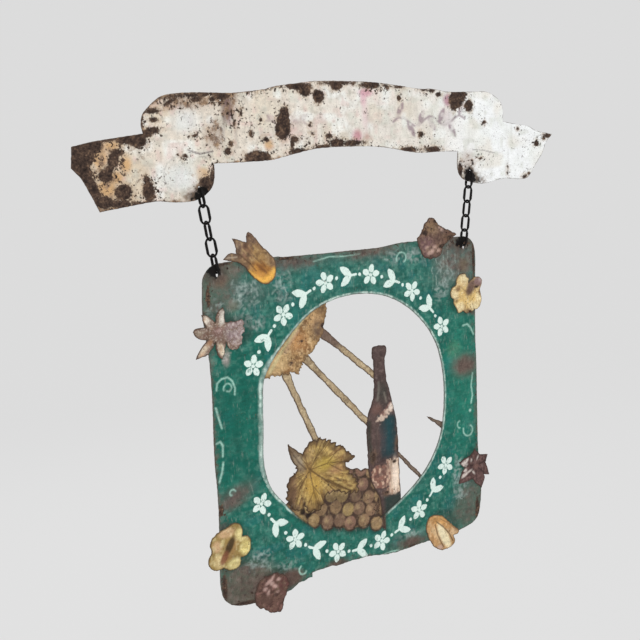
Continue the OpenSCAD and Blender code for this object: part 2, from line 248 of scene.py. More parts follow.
def spoke(middle_x, middle_z, turn, near, far):
    """The two ends of a line that runs outward from a flower's middle."""
    return [around(middle_x, middle_z, reach, turn) for reach in (near, far)]


def mottle(x, z, size, seed):
    """Soft random patches of about this size, from 0 to 1."""
    table = np.random.default_rng(seed).random((MOTTLE_SIDE, MOTTLE_SIDE))
    gx, gz = x / size + 500.0, z / size + 500.0
    ix, iz = np.floor(gx).astype(int), np.floor(gz).astype(int)
    fx, fz = gx - ix, gz - iz
    fx, fz = fx * fx * (3 - 2 * fx), fz * fz * (3 - 2 * fz)
    left, right = ix % MOTTLE_SIDE, (ix + 1) % MOTTLE_SIDE
    low, high = iz % MOTTLE_SIDE, (iz + 1) % MOTTLE_SIDE
    bottom = table[left, low] * (1 - fx) + table[right, low] * fx
    top = table[left, high] * (1 - fx) + table[right, high] * fx
    return bottom * (1 - fz) + top * fz


class Coat:
    """Paint on one sheet: its colours, rust, wear, motifs, soot with painted shade, and sound edges at each
    point.
    """

    def __init__(self, x, z, base):
        self.x, self.z = x, z
        self.paint = np.tile(shade(*base), (len(x), 1))
        self.rust = np.full(x.shape, OUTSIDE)
        self.worn = np.zeros(x.shape)
        self.mark = np.full(x.shape, OUTSIDE)
        self.blot = np.zeros(x.shape)
        self.sound = np.zeros(x.shape, bool)

    def lay(self, weight, colour):
        """Mixes a colour in by a weight at each point."""
        self.paint = self.paint * (1.0 - weight[:, None]) + shade(*colour) * weight[:, None]

    def dab(self, shape, colour, soft=2.0, strength=1.0):
        """Mixes a colour in where the shape is, with a soft rim."""
        self.lay(step_up(-soft, soft, shape) * strength, colour)

    def oval(self, place, colour, soft=2.0, strength=1.0):
        """Mixes a colour in over an oval: its middle, its reach across and up, and how it is turned."""
        self.dab(spot(self.x, self.z, *place), colour, soft, strength)

    def ovals(self, places, colour, soft=2.0, strength=1.0):
        """Mixes one colour in over several ovals."""
        for place in places:
            self.oval(place, colour, soft, strength)

    def line(self, points, width, colour, soft=0.8, strength=1.0):
        """Mixes a colour in along a brush stroke."""
        self.dab(stroke(self.x, self.z, points, width), colour, soft, strength)

    def patches(self, size, seed, low, high, colour, strength=1.0):
        """Mixes a colour in where random patches are strong."""
        self.lay(step_up(low, high, mottle(self.x, self.z, size, seed)) * strength, colour)

    def weather(self, seed, dark, light, amount=0.5, size=9.0):
        """Patches of a darker and a lighter colour, large and small."""
        self.patches(size, seed, 0.48, 0.85, dark, amount)
        self.patches(size * 0.5, seed + 1, 0.55, 0.88, light, amount * 0.8)
        self.patches(size * 0.3, seed + 2, 0.60, 0.88, dark, amount)

    def rim(self, distance, width, colour, strength=1.0):
        """Darkens or lightens a rim along the cut edge."""
        self.lay(step_up(width, width * 0.3, distance) * strength, colour)

    def soot_and_shade(self, shape):
        """Black crust of soot, with painted shade, where the shape is, crumbling at its rim."""
        self.blot = step_up(-6, 4, shape + 7 * (mottle(self.x, self.z, 4, 20) - 0.5))

    def foliage(self, place, seed, count, colour, strength=0.5):
        """Faded foliage: short brush strokes that lean every way in an oval."""
        middle_x, middle_z, reach_x, reach_z = place
        chance = np.random.default_rng(seed)
        for k in range(count):
            x = middle_x + reach_x * chance.uniform(-1, 1)
            z = middle_z + reach_z * chance.uniform(-1, 1)
            turn = chance.uniform(0, math.pi)
            length = chance.uniform(1.5, 5.5)
            dx, dz = math.cos(turn) * length, math.sin(turn) * length
            width = chance.uniform(1.4, 3.4)
            ends = [(x - dx, z - dz), (x + dx, z + dz)]
            self.line(ends, width, colour, 1.2, strength * chance.uniform(0.4, 1.0))


# Reading the solids

def solid_points(node):
    """The points of a node's solid, in millimetres."""
    return np.array([vertex.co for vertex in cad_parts[node].data.vertices]) / MM


def front_loops(node):
    """Outlines of a node's front, with the metal on their left, without rivet holes, and its two depths."""
    places = solid_points(node)
    front = places[:, 1].min()
    names, merged = {}, []
    for place in places:
        key = (round(place[0], 2), round(place[2], 2))
        merged.append(names.setdefault(key, len(names)))
    points = np.array(list(names))
    edges = set()
    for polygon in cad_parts[node].data.polygons:
        corners = list(polygon.vertices)
        if all(places[i, 1] < front + FLAT for i in corners):
            ring = [merged[i] for i in corners]
            edges.update(zip(ring, ring[1:] + ring[:1]))
    onward = {a: b for a, b in edges if (b, a) not in edges and a != b}
    loops = []
    while onward:
        loop, here = [], min(onward)
        while here in onward:
            loop.append(here)
            here = onward.pop(here)
        outline = points[loop]
        if max(np.ptp(outline, axis=0)) > RIVET_HOLE_MOST:
            loops.append(outline)
    return loops, front, places[:, 1].max()


def divided(loop, step):
    """Points along a closed loop, no further apart than a step."""
    out = []
    for a, b in zip(loop, np.roll(loop, -1, axis=0)):
        pieces = max(1, math.ceil(np.linalg.norm(b - a) / step))
        out += [a + (b - a) * k / pieces for k in range(pieces)]
    return np.array(out)


def fine_outline(loop, step):
    """The outline with close points dropped and long runs divided."""
    kept = [loop[0]]
    for point in loop[1:]:
        if np.linalg.norm(point - kept[-1]) > OUTLINE_LEAST:
            kept.append(point)
    return divided(np.array(kept), step)


def inward(loop):
    """Unit directions into the metal at each point of a loop."""
    along = np.roll(loop, -1, axis=0) - np.roll(loop, 1, axis=0)
    along /= np.maximum(np.linalg.norm(along, axis=1), 1e-9)[:, None]
    return np.stack([-along[:, 1], along[:, 0]], axis=1)


def cut_in(loop, depth):
    """The outline moved into the metal, or out of it where the depth is below zero."""
    return loop + inward(loop) * depth[:, None]


def ragged(loop, size, length, seed):
    """How far an uneven cut goes in or out along an outline."""
    x, z = loop[:, 0], loop[:, 1]
    return size * (2.0 * mottle(x, z, length, seed) + mottle(x, z, length * 0.4, seed + 1) - 1.5)


def teeth(loop, period):
    """Saw teeth along an outline, from 0 to 1."""
    along = np.cumsum(np.linalg.norm(loop - np.roll(loop, 1, axis=0), axis=1))
    return (along / period) % 1.0


def crusted_hole(node, loop):
    """A hole narrowed by rust, with room left for the link that hangs in it."""
    middle = (loop.min(axis=0) + loop.max(axis=0)) / 2.0
    if node == "panel":
        return middle + PANEL_HOLE_SHIFT + (loop - middle) * PANEL_HOLE_OPEN
    if np.ptp(loop[:, 0]) > CHAIN_HOLE_LEAST:
        return middle + BANNER_HOLE_SHIFT + (loop - middle) * BANNER_HOLE_OPEN
    return middle + (loop - middle) * FIXING_HOLE_OPEN


def cut_loops(node, spacing, trim):
    """A node's outlines after cutting, trimming and rusting, and the depths of its front and back."""
    loops, front, back = front_loops(node)
    cut = []
    for loop in loops:
        loop = fine_outline(loop, min(OUTLINE_STEP, spacing))
        if max(np.ptp(loop, axis=0)) < HOLE_MOST:
            cut.append(crusted_hole(node, loop))
            continue
        if trim:
            loop = trim(loop - (0.0, PAINT_ZERO)) + (0.0, PAINT_ZERO)
        cut.append(cut_in(loop, ragged(loop, CUT_ROUGHNESS, CUT_LENGTH, 3)))
    return cut, front, back


def within(points, loops):
    """Which points lie in the metal, by counting the outlines crossed on the way out."""
    inside = np.zeros(len(points), bool)
    starts = np.concatenate(loops)
    ends = np.concatenate([np.roll(loop, -1, axis=0) for loop in loops])
    rise = ends[:, 1] - starts[:, 1]
    rise = np.where(np.abs(rise) < 1e-12, 1e-12, rise)
    for first in range(0, len(points), POINTS_AT_ONCE):
        some = points[first:first + POINTS_AT_ONCE]
        pz = some[:, 1][:, None]
        crosses = (starts[:, 1] > pz) != (ends[:, 1] > pz)
        at = starts[:, 0] + (pz - starts[:, 1]) / rise * (ends[:, 0] - starts[:, 0])
        crossed = np.sum(crosses & (some[:, 0][:, None] < at), axis=1)
        inside[first:first + POINTS_AT_ONCE] = crossed % 2 == 1
    return inside


def edge_finder(loops):
    """A search tree of points close along the outlines."""
    dense = np.concatenate([divided(loop, EDGE_STEP) for loop in loops])
    tree = KDTree(len(dense))
    for i, point in enumerate(dense):
        tree.insert((point[0], 0.0, point[1]), i)
    tree.balance()
    return tree


def edge_distance(tree, points):
    """Distance of each point from the outlines."""
    return np.array([tree.find((p[0], 0.0, p[1]))[2] for p in points])


# Making the sheets

def grid(loops, spacing, seed):
    """Points of a slightly uneven grid over the loops' box."""
    everything = np.concatenate(loops)
    low, high = everything.min(axis=0), everything.max(axis=0)
    rows = np.arange(low[1], high[1], spacing * 0.866)
    columns = np.arange(low[0], high[0], spacing)
    gx, gz = np.meshgrid(columns, rows)
    gx = gx + (np.arange(len(rows)) % 2)[:, None] * spacing / 2.0
    points = np.stack([gx.ravel(), gz.ravel()], axis=1)
    return points + np.random.default_rng(seed).uniform(-0.15, 0.15, points.shape) * spacing


def inner_points(loops, tree, spacing, room, seed):
    """Grid points in the metal, with some room to the cut edge."""
    dots = grid(loops, spacing, seed)
    dots = dots[within(dots, loops)]
    return dots[edge_distance(tree, dots) > room]


def chamfer_ring(loops, tree):
    """Points in the metal where the rounding of the cut edge ends."""
    ring = np.concatenate([cut_in(loop, np.full(len(loop), CHAMFER)) for loop in loops])
    ring = ring[edge_distance(tree, ring) > CHAMFER_LEAST]
    return ring[within(ring, loops)]


def fill(loops, inner):
    """Triangles over the metal between the loops, through the inner points."""
    rim = np.concatenate(loops)
    edges, first = [], 0
    for loop in loops:
        count = len(loop)
        edges += [(first + k, first + (k + 1) % count) for k in range(count)]
        first += count
    points = np.concatenate([rim, inner])
    made = delaunay_2d_cdt([Vector(p) for p in points], edges, [], 0, 1e-6)
    back_to = [min(source) if source else -1 for source in made[3]]
    triangles = np.array([[back_to[i] for i in face] for face in made[2]])
    triangles = triangles[(triangles >= 0).all(axis=1)]
    on_rim = (triangles < len(rim)).all(axis=1)
    middles = points[triangles[on_rim]].mean(axis=1)
    keep = np.ones(len(triangles), bool)
    keep[on_rim] = within(middles, loops)
    return points, triangles[keep]


def sheet_wave(x, z):
    """How an old sheet has bent, to the front or back; the same for all sheets, so none part."""
    return (0.28 * np.sin(x / 21.0 + z / 47.0) + 0.22 * np.sin(z / 17.0 - x / 39.0 + 1.7)
            + 0.16 * np.sin(x / 11.0 - z / 13.0 + 0.6))


def edge_walls(loops, count):
    """Faces of the cut edges, from the front's outline to the back's, which comes this many points later."""
    walls, first = [], 0
    for loop in loops:
        for k in range(len(loop)):
            a, b = first + k, first + (k + 1) % len(loop)
            walls.append([a, a + count, b + count, b])
        first += len(loop)
    return walls


def sheet_mesh(name, places, front_faces, back_faces, walls):
    """A sheet's mesh: the first material for the front and the cut edges, the second for the back."""
    faces = front_faces.tolist() + back_faces.tolist() + walls
    mesh = bpy.data.meshes.new(name)
    mesh.from_pydata(places.tolist(), [], faces)
    slots = np.zeros(len(faces), np.int32)
    slots[len(front_faces):len(front_faces) + len(back_faces)] = 1
    mesh.polygons.foreach_set("material_index", slots)
    mesh.polygons.foreach_set("use_smooth", np.ones(len(faces), bool))
    mesh.set_sharp_from_angle(angle=math.radians(SHARP_ANGLE))
    return mesh


def store_coat(mesh, coat, distance, behind):
    """Keeps the coat at each point of a sheet for its material to read, and bare iron at those behind."""
    edge = np.where((coat.blot > 0.5) | coat.sound, EDGE_REACH, np.minimum(distance, EDGE_REACH))
    rows = [("rust", coat.rust, 0.0), ("worn", coat.worn, 0.0), ("mark", coat.mark, OUTSIDE),
            ("edge", edge, 0.0), ("blot", coat.blot, 0.0)]
    for name, values, bare in rows:
        attribute = mesh.attributes.new(name, "FLOAT", "POINT")
        everywhere = np.concatenate([values, np.full(behind, bare)])
        attribute.data.foreach_set("value", everywhere.astype(np.float32))
    attribute = mesh.attributes.new("paint", "FLOAT_VECTOR", "POINT")
    everywhere = np.concatenate([coat.paint, np.tile(coat.paint.mean(axis=0), (behind, 1))])
    attribute.data.foreach_set("vector", everywhere.astype(np.float32).ravel())


def place_piece(name, mesh, body, node):
    """Puts a mesh in the scene as the piece that stands for a node."""
    piece = bpy.data.objects.new(name, mesh)
    bpy.context.scene.collection.objects.link(piece)
    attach(piece, body)
    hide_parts(node)


def cut_sheet(node, body, spacing, painter, materials, relief=None, trim=None):
    """A sheet with chamfered, uneven edges, bent and painted, that stands for a node."""
    loops, front, back = cut_loops(node, spacing, trim)
    tree = edge_finder(loops)
    dots = inner_points(loops, tree, spacing, CHAMFER + spacing * 0.5, 5)
    front_points, front_faces = fill(loops, np.concatenate([chamfer_ring(loops, tree), dots]))
    dots = inner_points(loops, tree, BACK_SPACING, BACK_ROOM, 6)
    back_points, back_faces = fill(loops, dots)

    x, z = front_points[:, 0], front_points[:, 1]
    rim_count = sum(len(loop) for loop in loops)
    distance = edge_distance(tree, front_points)
    distance[:rim_count] = 0.0
    depth = front + sheet_wave(x, z)
    depth[:rim_count] += CHAMFER_DEPTH
    if relief:
        depth -= relief(x, z - PAINT_ZERO, distance)
    back_x, back_z = back_points[:, 0], back_points[:, 1]
    back_depth = back + sheet_wave(back_x, back_z)
    front_places = np.stack([x, depth, z], axis=1)
    back_places = np.stack([back_x, back_depth, back_z], axis=1)
    places = np.concatenate([front_places, back_places]) * MM

    count = len(front_points)
    walls = edge_walls(loops, count)
    mesh = sheet_mesh(node + "_sheet", places, front_faces, back_faces[:, ::-1] + count, walls)
    store_coat(mesh, painter(x, z - PAINT_ZERO, distance), distance, len(back_points))
    for material in materials:
        mesh.materials.append(material)
    place_piece(node + "_sheet", mesh, body, node)


# Shared effects, each a node group

class Nodes:
    """Short ways to add and join nodes in one tree."""

    def __init__(self, tree):
        self.tree = tree

    def add(self, kind, **settings):
        """A new node with these settings."""
        node = self.tree.nodes.new(kind)
        for name, value in settings.items():
            setattr(node, name, value)
        return node

    def join(self, source, target):
        """Links one socket to another."""
        self.tree.links.new(source, target)

    def feed(self, socket, value):
        """Sets a socket to a constant, or links it to another socket."""
        if isinstance(value, bpy.types.NodeSocket):
            self.join(value, socket)
        elif value is not None:
            socket.default_value = value

    def sum(self, operation, first, second=None, clamp=False):
        """A sum of one or two values."""
        node = self.add("ShaderNodeMath", operation=operation, use_clamp=clamp)
        for socket, value in zip(node.inputs, (first, second)):
            self.feed(socket, value)
        return node.outputs[0]

    def times(self, value, factor):
        """A value times a factor."""
        return self.sum("MULTIPLY", value, factor)

    def shares(self, first, share, second, other_share):
        """Two values added, each by its share."""
        return self.sum("ADD", self.times(first, share), self.times(second, other_share))

    def swing(self, noise, amount):
        """A noise moved to swing about zero, times an amount."""
        return self.times(self.sum("SUBTRACT", noise, 0.5), amount)

    def slope(self, value, low, high, out_low=0.0, out_high=1.0):
        """A smooth step from one value to another."""
        node = self.add("ShaderNodeMapRange", interpolation_type="SMOOTHSTEP")
        for name, amount in (("Value", value), ("From Min", low), ("From Max", high),
                             ("To Min", out_low), ("To Max", out_high)):
            self.feed(node.inputs[name], amount)
        return node.outputs["Result"]

    def noise(self, place, scale, detail=2.0, roughness=0.5, stretch=None):
        """A noise, stretched along the axes where that is asked for."""
        if stretch:
            shrink = self.add("ShaderNodeMapping")
            shrink.inputs["Scale"].default_value = stretch
            self.join(place, shrink.inputs["Vector"])
            place = shrink.outputs[0]
        node = self.add("ShaderNodeTexNoise", noise_dimensions="3D")
        self.join(place, node.inputs["Vector"])
        self.feed(node.inputs["Scale"], scale)
        self.feed(node.inputs["Detail"], detail)
        self.feed(node.inputs["Roughness"], roughness)
        return node.outputs["Fac"]

    def blend(self, amount, first, second):
        """Two colours mixed by an amount."""
        node = self.add("ShaderNodeMix", data_type="RGBA", blend_type="MIX")
        self.feed(node.inputs[0], amount)
        for index, value in ((6, first), (7, second)):
            if isinstance(value, bpy.types.NodeSocket):
                self.join(value, node.inputs[index])
            else:
                node.inputs[index].default_value = (*value, 1.0)
        return node.outputs[2]

    def ramp(self, value, stops):
        """A row of colours picked by a value."""
        node = self.add("ShaderNodeValToRGB")
        elements = node.color_ramp.elements
        while len(elements) < len(stops):
            elements.new(0.5)
        for element, (position, colour) in zip(elements, stops):
            element.position = position
            element.color = (*shade(*colour), 1.0)
        self.join(value, node.inputs[0])
        return node.outputs[0]

    def held(self, attribute, output="Fac"):
        """What a sheet holds at each point under this name."""
        return self.add("ShaderNodeAttribute", attribute_name=attribute).outputs[output]

    def place_group(self, group, **values):
        """A shared effect with these values on its sockets."""
        node = self.add("ShaderNodeGroup")
        node.node_tree = group
        for name, value in values.items():
            self.feed(node.inputs[name], value)
        return node.outputs

    def seen_directly(self):
        """1 for what the camera sees, straight or in a shiny or clear surface."""
        path = self.add("ShaderNodeLightPath").outputs
        mirrored = self.sum("MAXIMUM", path["Is Glossy Ray"], path["Is Transmission Ray"])
        return self.sum("MAXIMUM", path["Is Camera Ray"], mirrored)

    def plain(self, kind, grey):
        """A shader of one plain grey."""
        shader = self.add(kind)
        shader.inputs["Color"].default_value = (grey, grey, grey, 1)
        return shader

    def mix_shaders(self, amount, first, second, output):
        """Two shaders mixed by an amount and joined to a new output."""
        mix = self.add("ShaderNodeMixShader")
        self.join(amount, mix.inputs[0])
        self.join(first.outputs[0], mix.inputs[1])
        self.join(second.outputs[0], mix.inputs[2])
        self.join(mix.outputs[0], self.add(output).inputs["Surface"])


def effect(name, inputs, outputs):
    """A new node group with these named sockets, and short ways to fill it."""
    kinds = {"value": "NodeSocketFloat", "colour": "NodeSocketColor", "place": "NodeSocketVector"}
    tree = bpy.data.node_groups.new(name, "ShaderNodeTree")
    for socket, kind in inputs:
        tree.interface.new_socket(socket, in_out="INPUT", socket_type=kinds[kind])
    for socket, kind in outputs:
        tree.interface.new_socket(socket, in_out="OUTPUT", socket_type=kinds[kind])
    nodes = Nodes(tree)
    return tree, nodes, nodes.add("NodeGroupInput").outputs, nodes.add("NodeGroupOutput").inputs


def make_paint_grain():
    """Old brushed paint: patches, brush marks, faded streaks and fine grain in its colour and thickness."""
    tree, nodes, given, result = effect(
        "paint grain",
        [("Place", "place"), ("Colour", "colour"), ("Patches", "value"), ("Brush", "value"),
         ("Grain", "value"), ("Fade", "value")],
        [("Colour", "colour"), ("Height", "value")])
    place = given["Place"]
    broad = nodes.noise(place, 30.0, 4.0, 0.62)
    brush = nodes.noise(place, 130.0, 4.0, 0.65, stretch=(0.45, 1.0, 1.5))
    cross = nodes.noise(place, 150.0, 4.0, 0.62, stretch=(1.5, 1.0, 0.5))
    fine = nodes.noise(place, 520.0, 3.0, 0.65)
    marks = nodes.sum("ADD", nodes.swing(broad, given["Patches"]), nodes.swing(brush, given["Brush"]))
    total = nodes.sum("ADD", marks, nodes.swing(fine, given["Grain"]))
    lighter = nodes.sum("MAXIMUM", nodes.sum("ADD", total, 1.0), 0.3)
    scaled = nodes.add("ShaderNodeVectorMath", operation="SCALE")
    nodes.join(given["Colour"], scaled.inputs[0])
    nodes.join(lighter, scaled.inputs["Scale"])
    pale = nodes.blend(0.5, scaled.outputs[0], shade(190, 190, 182))
    faded = nodes.times(nodes.slope(cross, 0.56, 0.74), given["Fade"])
    nodes.join(nodes.blend(faded, scaled.outputs[0], pale), result["Colour"])
    nodes.join(nodes.shares(brush, 0.7, fine, 0.3), result["Height"])
    return tree


def make_rust_flakes():
    """Rust where paint has flaked off: a ragged mask with specks, the stain round it, colours and pits."""
    tree, nodes, given, result = effect(
        "rust flakes",
        [("Place", "place"), ("Rust", "value"), ("Ragged", "value"), ("Specks", "value")],
        [("Mask", "value"), ("Stain", "value"), ("Colour", "colour"), ("Height", "value")])
    place = given["Place"]
    large = nodes.noise(place, 90.0, 5.0, 0.66)
    small = nodes.noise(place, 330.0, 4.0, 0.66)
    uneven = nodes.sum("ADD", nodes.swing(large, 2.2), nodes.swing(small, 2.6))
    field = nodes.sum("ADD", given["Rust"], nodes.times(uneven, given["Ragged"]))
    patch = nodes.slope(field, -1.5, 0.9)
    dots = nodes.noise(place, 250.0, 3.0, 0.6)
    gather = nodes.noise(place, 22.0, 3.0, 0.5)
    chance = nodes.sum("ADD", dots, nodes.swing(gather, 0.35))
    nearby = nodes.slope(given["Rust"], -14.0, 0.0, 0.0, 0.8)
    crowd = nodes.sum("ADD", chance, nodes.times(nodes.sum("ADD", given["Specks"], nearby), 0.1))
    speck = nodes.slope(crowd, 0.69, 0.77)
    nodes.join(nodes.sum("MAXIMUM", patch, speck), result["Mask"])
    stain = nodes.times(nodes.slope(field, -7.0, 0.0), nodes.slope(large, 0.32, 0.62))
    nodes.join(stain, result["Stain"])
    tones = [(0.36, (31, 25, 23)), (0.45, (54, 43, 38)), (0.54, (78, 62, 53)), (0.66, (124, 100, 80))]
    nodes.join(nodes.ramp(nodes.shares(large, 0.5, small, 0.5), tones), result["Colour"])
    nodes.join(nodes.shares(small, 0.6, large, 0.4), result["Height"])
    return tree


def make_thin_wear():
    """Paint worn thin in a broken pattern, hard or soft at its rims, and how its colours vary."""
    tree, nodes, given, result = effect(
        "thin wear", [("Place", "place"), ("Worn", "value"), ("Soft", "value")],
        [("Mask", "value"), ("Tone", "value")])
    broken = nodes.noise(given["Place"], 60.0, 8.0, 0.74)
    limit = nodes.sum("SUBTRACT", 0.80, nodes.times(given["Worn"], 0.52))
    past = nodes.sum("DIVIDE", nodes.sum("SUBTRACT", broken, limit), given["Soft"])
    nodes.join(nodes.slope(past, -1.0, 1.2), result["Mask"])
    nodes.join(nodes.noise(given["Place"], 85.0, 6.0, 0.7, stretch=(1.0, 1.0, 0.8)), result["Tone"])
    return tree


def make_edge_wear():
    """Wear along the cut edges, uneven in width."""
    tree, nodes, given, result = effect(
        "edge wear", [("Place", "place"), ("Edge", "value"), ("Width", "value")], [("Mask", "value")])
    uneven = nodes.noise(given["Place"], 70.0, 4.0, 0.65)
    reach = nodes.times(given["Width"], nodes.slope(uneven, 0.34, 0.68, 0.15, 2.0))
    gap = nodes.sum("SUBTRACT", reach, given["Edge"])
    nodes.join(nodes.slope(gap, -0.4, 0.6), result["Mask"])
    return tree


def make_grime():
    """Dirt in the paint: dark flecks and faint runs from above."""
    tree, nodes, given, result = effect(
        "grime", [("Place", "place"), ("Flecks", "value"), ("Runs", "value")], [("Mask", "value")])
    flecks = nodes.noise(given["Place"], 400.0, 3.0, 0.65)
    runs = nodes.noise(given["Place"], 110.0, 3.0, 0.55, stretch=(1.0, 1.0, 0.16))
    fleck = nodes.times(nodes.slope(flecks, 0.58, 0.74), given["Flecks"])
    run = nodes.times(nodes.slope(runs, 0.52, 0.74), given["Runs"])
    nodes.join(nodes.sum("MAXIMUM", fleck, run, clamp=True), result["Mask"])
    return tree


def make_soot_and_shade_crumbs():
    """Crumbs of soot, close where a sheet holds a blot of soot and painted shade, and few elsewhere."""
    tree, nodes, given, result = effect(
        "soot crumbs", [("Place", "place"), ("Blot", "value")], [("Mask", "value")])
    crumbs = nodes.swing(nodes.noise(given["Place"], 130.0, 5.0, 0.7), 1.8)
    nodes.join(nodes.slope(nodes.sum("ADD", given["Blot"], crumbs), 0.34, 0.78), result["Mask"])
    return tree


def make_rust_crust():
    """A crust of rust on bare iron, with pits, broad patches and runs, as a tone and a height."""
    tree, nodes, given, result = effect(
        "rust crust", [("Place", "place"), ("Scale", "value")], [("Tone", "value"), ("Height", "value")])
    place, scale = given["Place"], given["Scale"]
    crust = nodes.noise(place, nodes.times(scale, 120.0), 5.0, 0.68)
    pit = nodes.noise(place, nodes.times(scale, 520.0), 3.0, 0.6)
    broad = nodes.noise(place, nodes.times(scale, 22.0), 4.0, 0.6)
    runs = nodes.noise(place, nodes.times(scale, 60.0), 4.0, 0.6, stretch=(1.0, 1.0, 0.3))
    tone = nodes.sum("ADD", nodes.shares(crust, 0.4, pit, 0.14), nodes.shares(broad, 0.34, runs, 0.12))
    nodes.join(tone, result["Tone"])
    nodes.join(nodes.shares(crust, 0.6, pit, 0.4), result["Height"])
    return tree


PAINT_GRAIN = make_paint_grain()
RUST_FLAKES = make_rust_flakes()
THIN_WEAR = make_thin_wear()
EDGE_WEAR = make_edge_wear()
GRIME = make_grime()
SOOT_AND_SHADE_CRUMBS = make_soot_and_shade_crumbs()
RUST_CRUST = make_rust_crust()


# Kinds of material

def new_material(name):
    """An empty material with its shader, its output and the place on the object."""
    material = bpy.data.materials.new(name)
    material.use_nodes = True
    material.node_tree.nodes.clear()
    nodes = Nodes(material.node_tree)
    shader = nodes.add("ShaderNodeBsdfPrincipled")
    output = nodes.add("ShaderNodeOutputMaterial")
    nodes.join(shader.outputs[0], output.inputs["Surface"])
    place = nodes.add("ShaderNodeTexCoord").outputs["Object"]
    return material, nodes, shader, place


def raise_surface(nodes, shader, height, strength, depth):
    """Turns a height into a bump on the shader."""
    bump = nodes.add("ShaderNodeBump")
    bump.inputs["Strength"].default_value = strength
    bump.inputs["Distance"].default_value = depth * MM
    nodes.join(height, bump.inputs["Height"])
    nodes.join(bump.outputs[0], shader.inputs["Normal"])


def add_garland(nodes, place, colour, mark_colour):
    """The garland's motifs over a colour, wobbly at their rims and rubbed thin in places."""
    wobble = nodes.noise(place, 230.0, 3.0, 0.6)
    shape = nodes.sum("ADD", nodes.held("mark"), nodes.swing(wobble, 3.0))
    thin = nodes.slope(nodes.noise(place, 110.0, 5.0, 0.7), 0.56, 0.70, 1.0, 0.3)
    amount = nodes.times(nodes.slope(shape, -0.6, 0.7), thin)
    return nodes.blend(amount, colour, shade(*mark_colour))


def painted_sheet(name, patches=0.7, brush=0.7, grain=0.8, fade=0.2, ragged=1.8, specks=0.2,
                  specks_worn=0.5, stain=(120, 92, 70), stain_strength=0.5, edge_width=0.7,
                  edge_colour=(80, 64, 56), flecks=0.6, runs=0.15, grime_colour=(84, 66, 50),
                  worn=((78, 60, 52), (112, 90, 76), (146, 122, 102)), worn_soft=0.07, mark_colour=None,
                  gloss=0.65):
    """Weathered paint on iron, from the paint and wear that the sheet holds; by itself, a flower's."""
    material, nodes, shader, place = new_material(name)
    coat = nodes.place_group(PAINT_GRAIN, Place=place, Colour=nodes.held("paint", "Color"), Patches=patches,
                             Brush=brush, Grain=grain, Fade=fade)
    colour = coat["Colour"]
    if mark_colour:
        colour = add_garland(nodes, place, colour, mark_colour)
    dirt = nodes.place_group(GRIME, Place=place, Flecks=flecks, Runs=runs)
    colour = nodes.blend(dirt["Mask"], colour, shade(*grime_colour))

    thin = nodes.place_group(THIN_WEAR, Place=place, Worn=nodes.held("worn"), Soft=worn_soft)
    tones = nodes.ramp(thin["Tone"], list(zip((0.36, 0.50, 0.64), worn)))
    colour = nodes.blend(thin["Mask"], colour, tones)

    crowd = nodes.sum("ADD", nodes.times(nodes.held("worn"), specks_worn), specks)
    rust = nodes.place_group(RUST_FLAKES, Place=place, Rust=nodes.held("rust"), Ragged=ragged, Specks=crowd)
    colour = nodes.blend(nodes.times(rust["Stain"], stain_strength), colour, shade(*stain))
    colour = nodes.blend(rust["Mask"], colour, rust["Colour"])
    edge = nodes.place_group(EDGE_WEAR, Place=place, Edge=nodes.held("edge"), Width=edge_width)
    bare_edge = nodes.blend(0.65, colour, shade(*edge_colour))
    colour = nodes.blend(edge["Mask"], colour, bare_edge)
    # Soot with painted shade round the chain holes, and dark crumbs of soot elsewhere
    soot_and_shade = nodes.place_group(SOOT_AND_SHADE_CRUMBS, Place=place, Blot=nodes.held("blot"))
    nodes.join(nodes.blend(soot_and_shade["Mask"], colour, shade(*SOOT_AND_SHADE)), shader.inputs["Base Color"])

    bare = nodes.sum("MAXIMUM", rust["Mask"], edge["Mask"])
    bare = nodes.sum("MAXIMUM", bare, nodes.times(thin["Mask"], 0.7))
    nodes.join(nodes.slope(bare, 0.0, 1.0, gloss, 0.95), shader.inputs["Roughness"])
    shader.inputs["Specular IOR Level"].default_value = 0.15
    thick = nodes.sum("ADD", nodes.times(coat["Height"], 0.35), 0.65)
    film = nodes.times(nodes.sum("SUBTRACT", 1.0, bare), thick)
    pits = nodes.times(bare, nodes.times(rust["Height"], 0.9))
    raise_surface(nodes, shader, nodes.sum("ADD", film, pits), 0.5, 0.45)
    return material


def rusted_iron(name, tones, roughness=(0.62, 0.9), scale=1.0, metal=0.0, shine=0.3, depth=0.35):
    """Bare iron under a crust of rust, with runs of rust down it."""
    material, nodes, shader, place = new_material(name)
    crust = nodes.place_group(RUST_CRUST, Place=place, Scale=scale)
    nodes.join(nodes.ramp(crust["Tone"], tones), shader.inputs["Base Color"])
    nodes.join(nodes.slope(crust["Tone"], 0.35, 0.65, *roughness), shader.inputs["Roughness"])
    shader.inputs["Metallic"].default_value = metal
    shader.inputs["Specular IOR Level"].default_value = shine
    raise_surface(nodes, shader, crust["Height"], 0.6, depth)
    return material
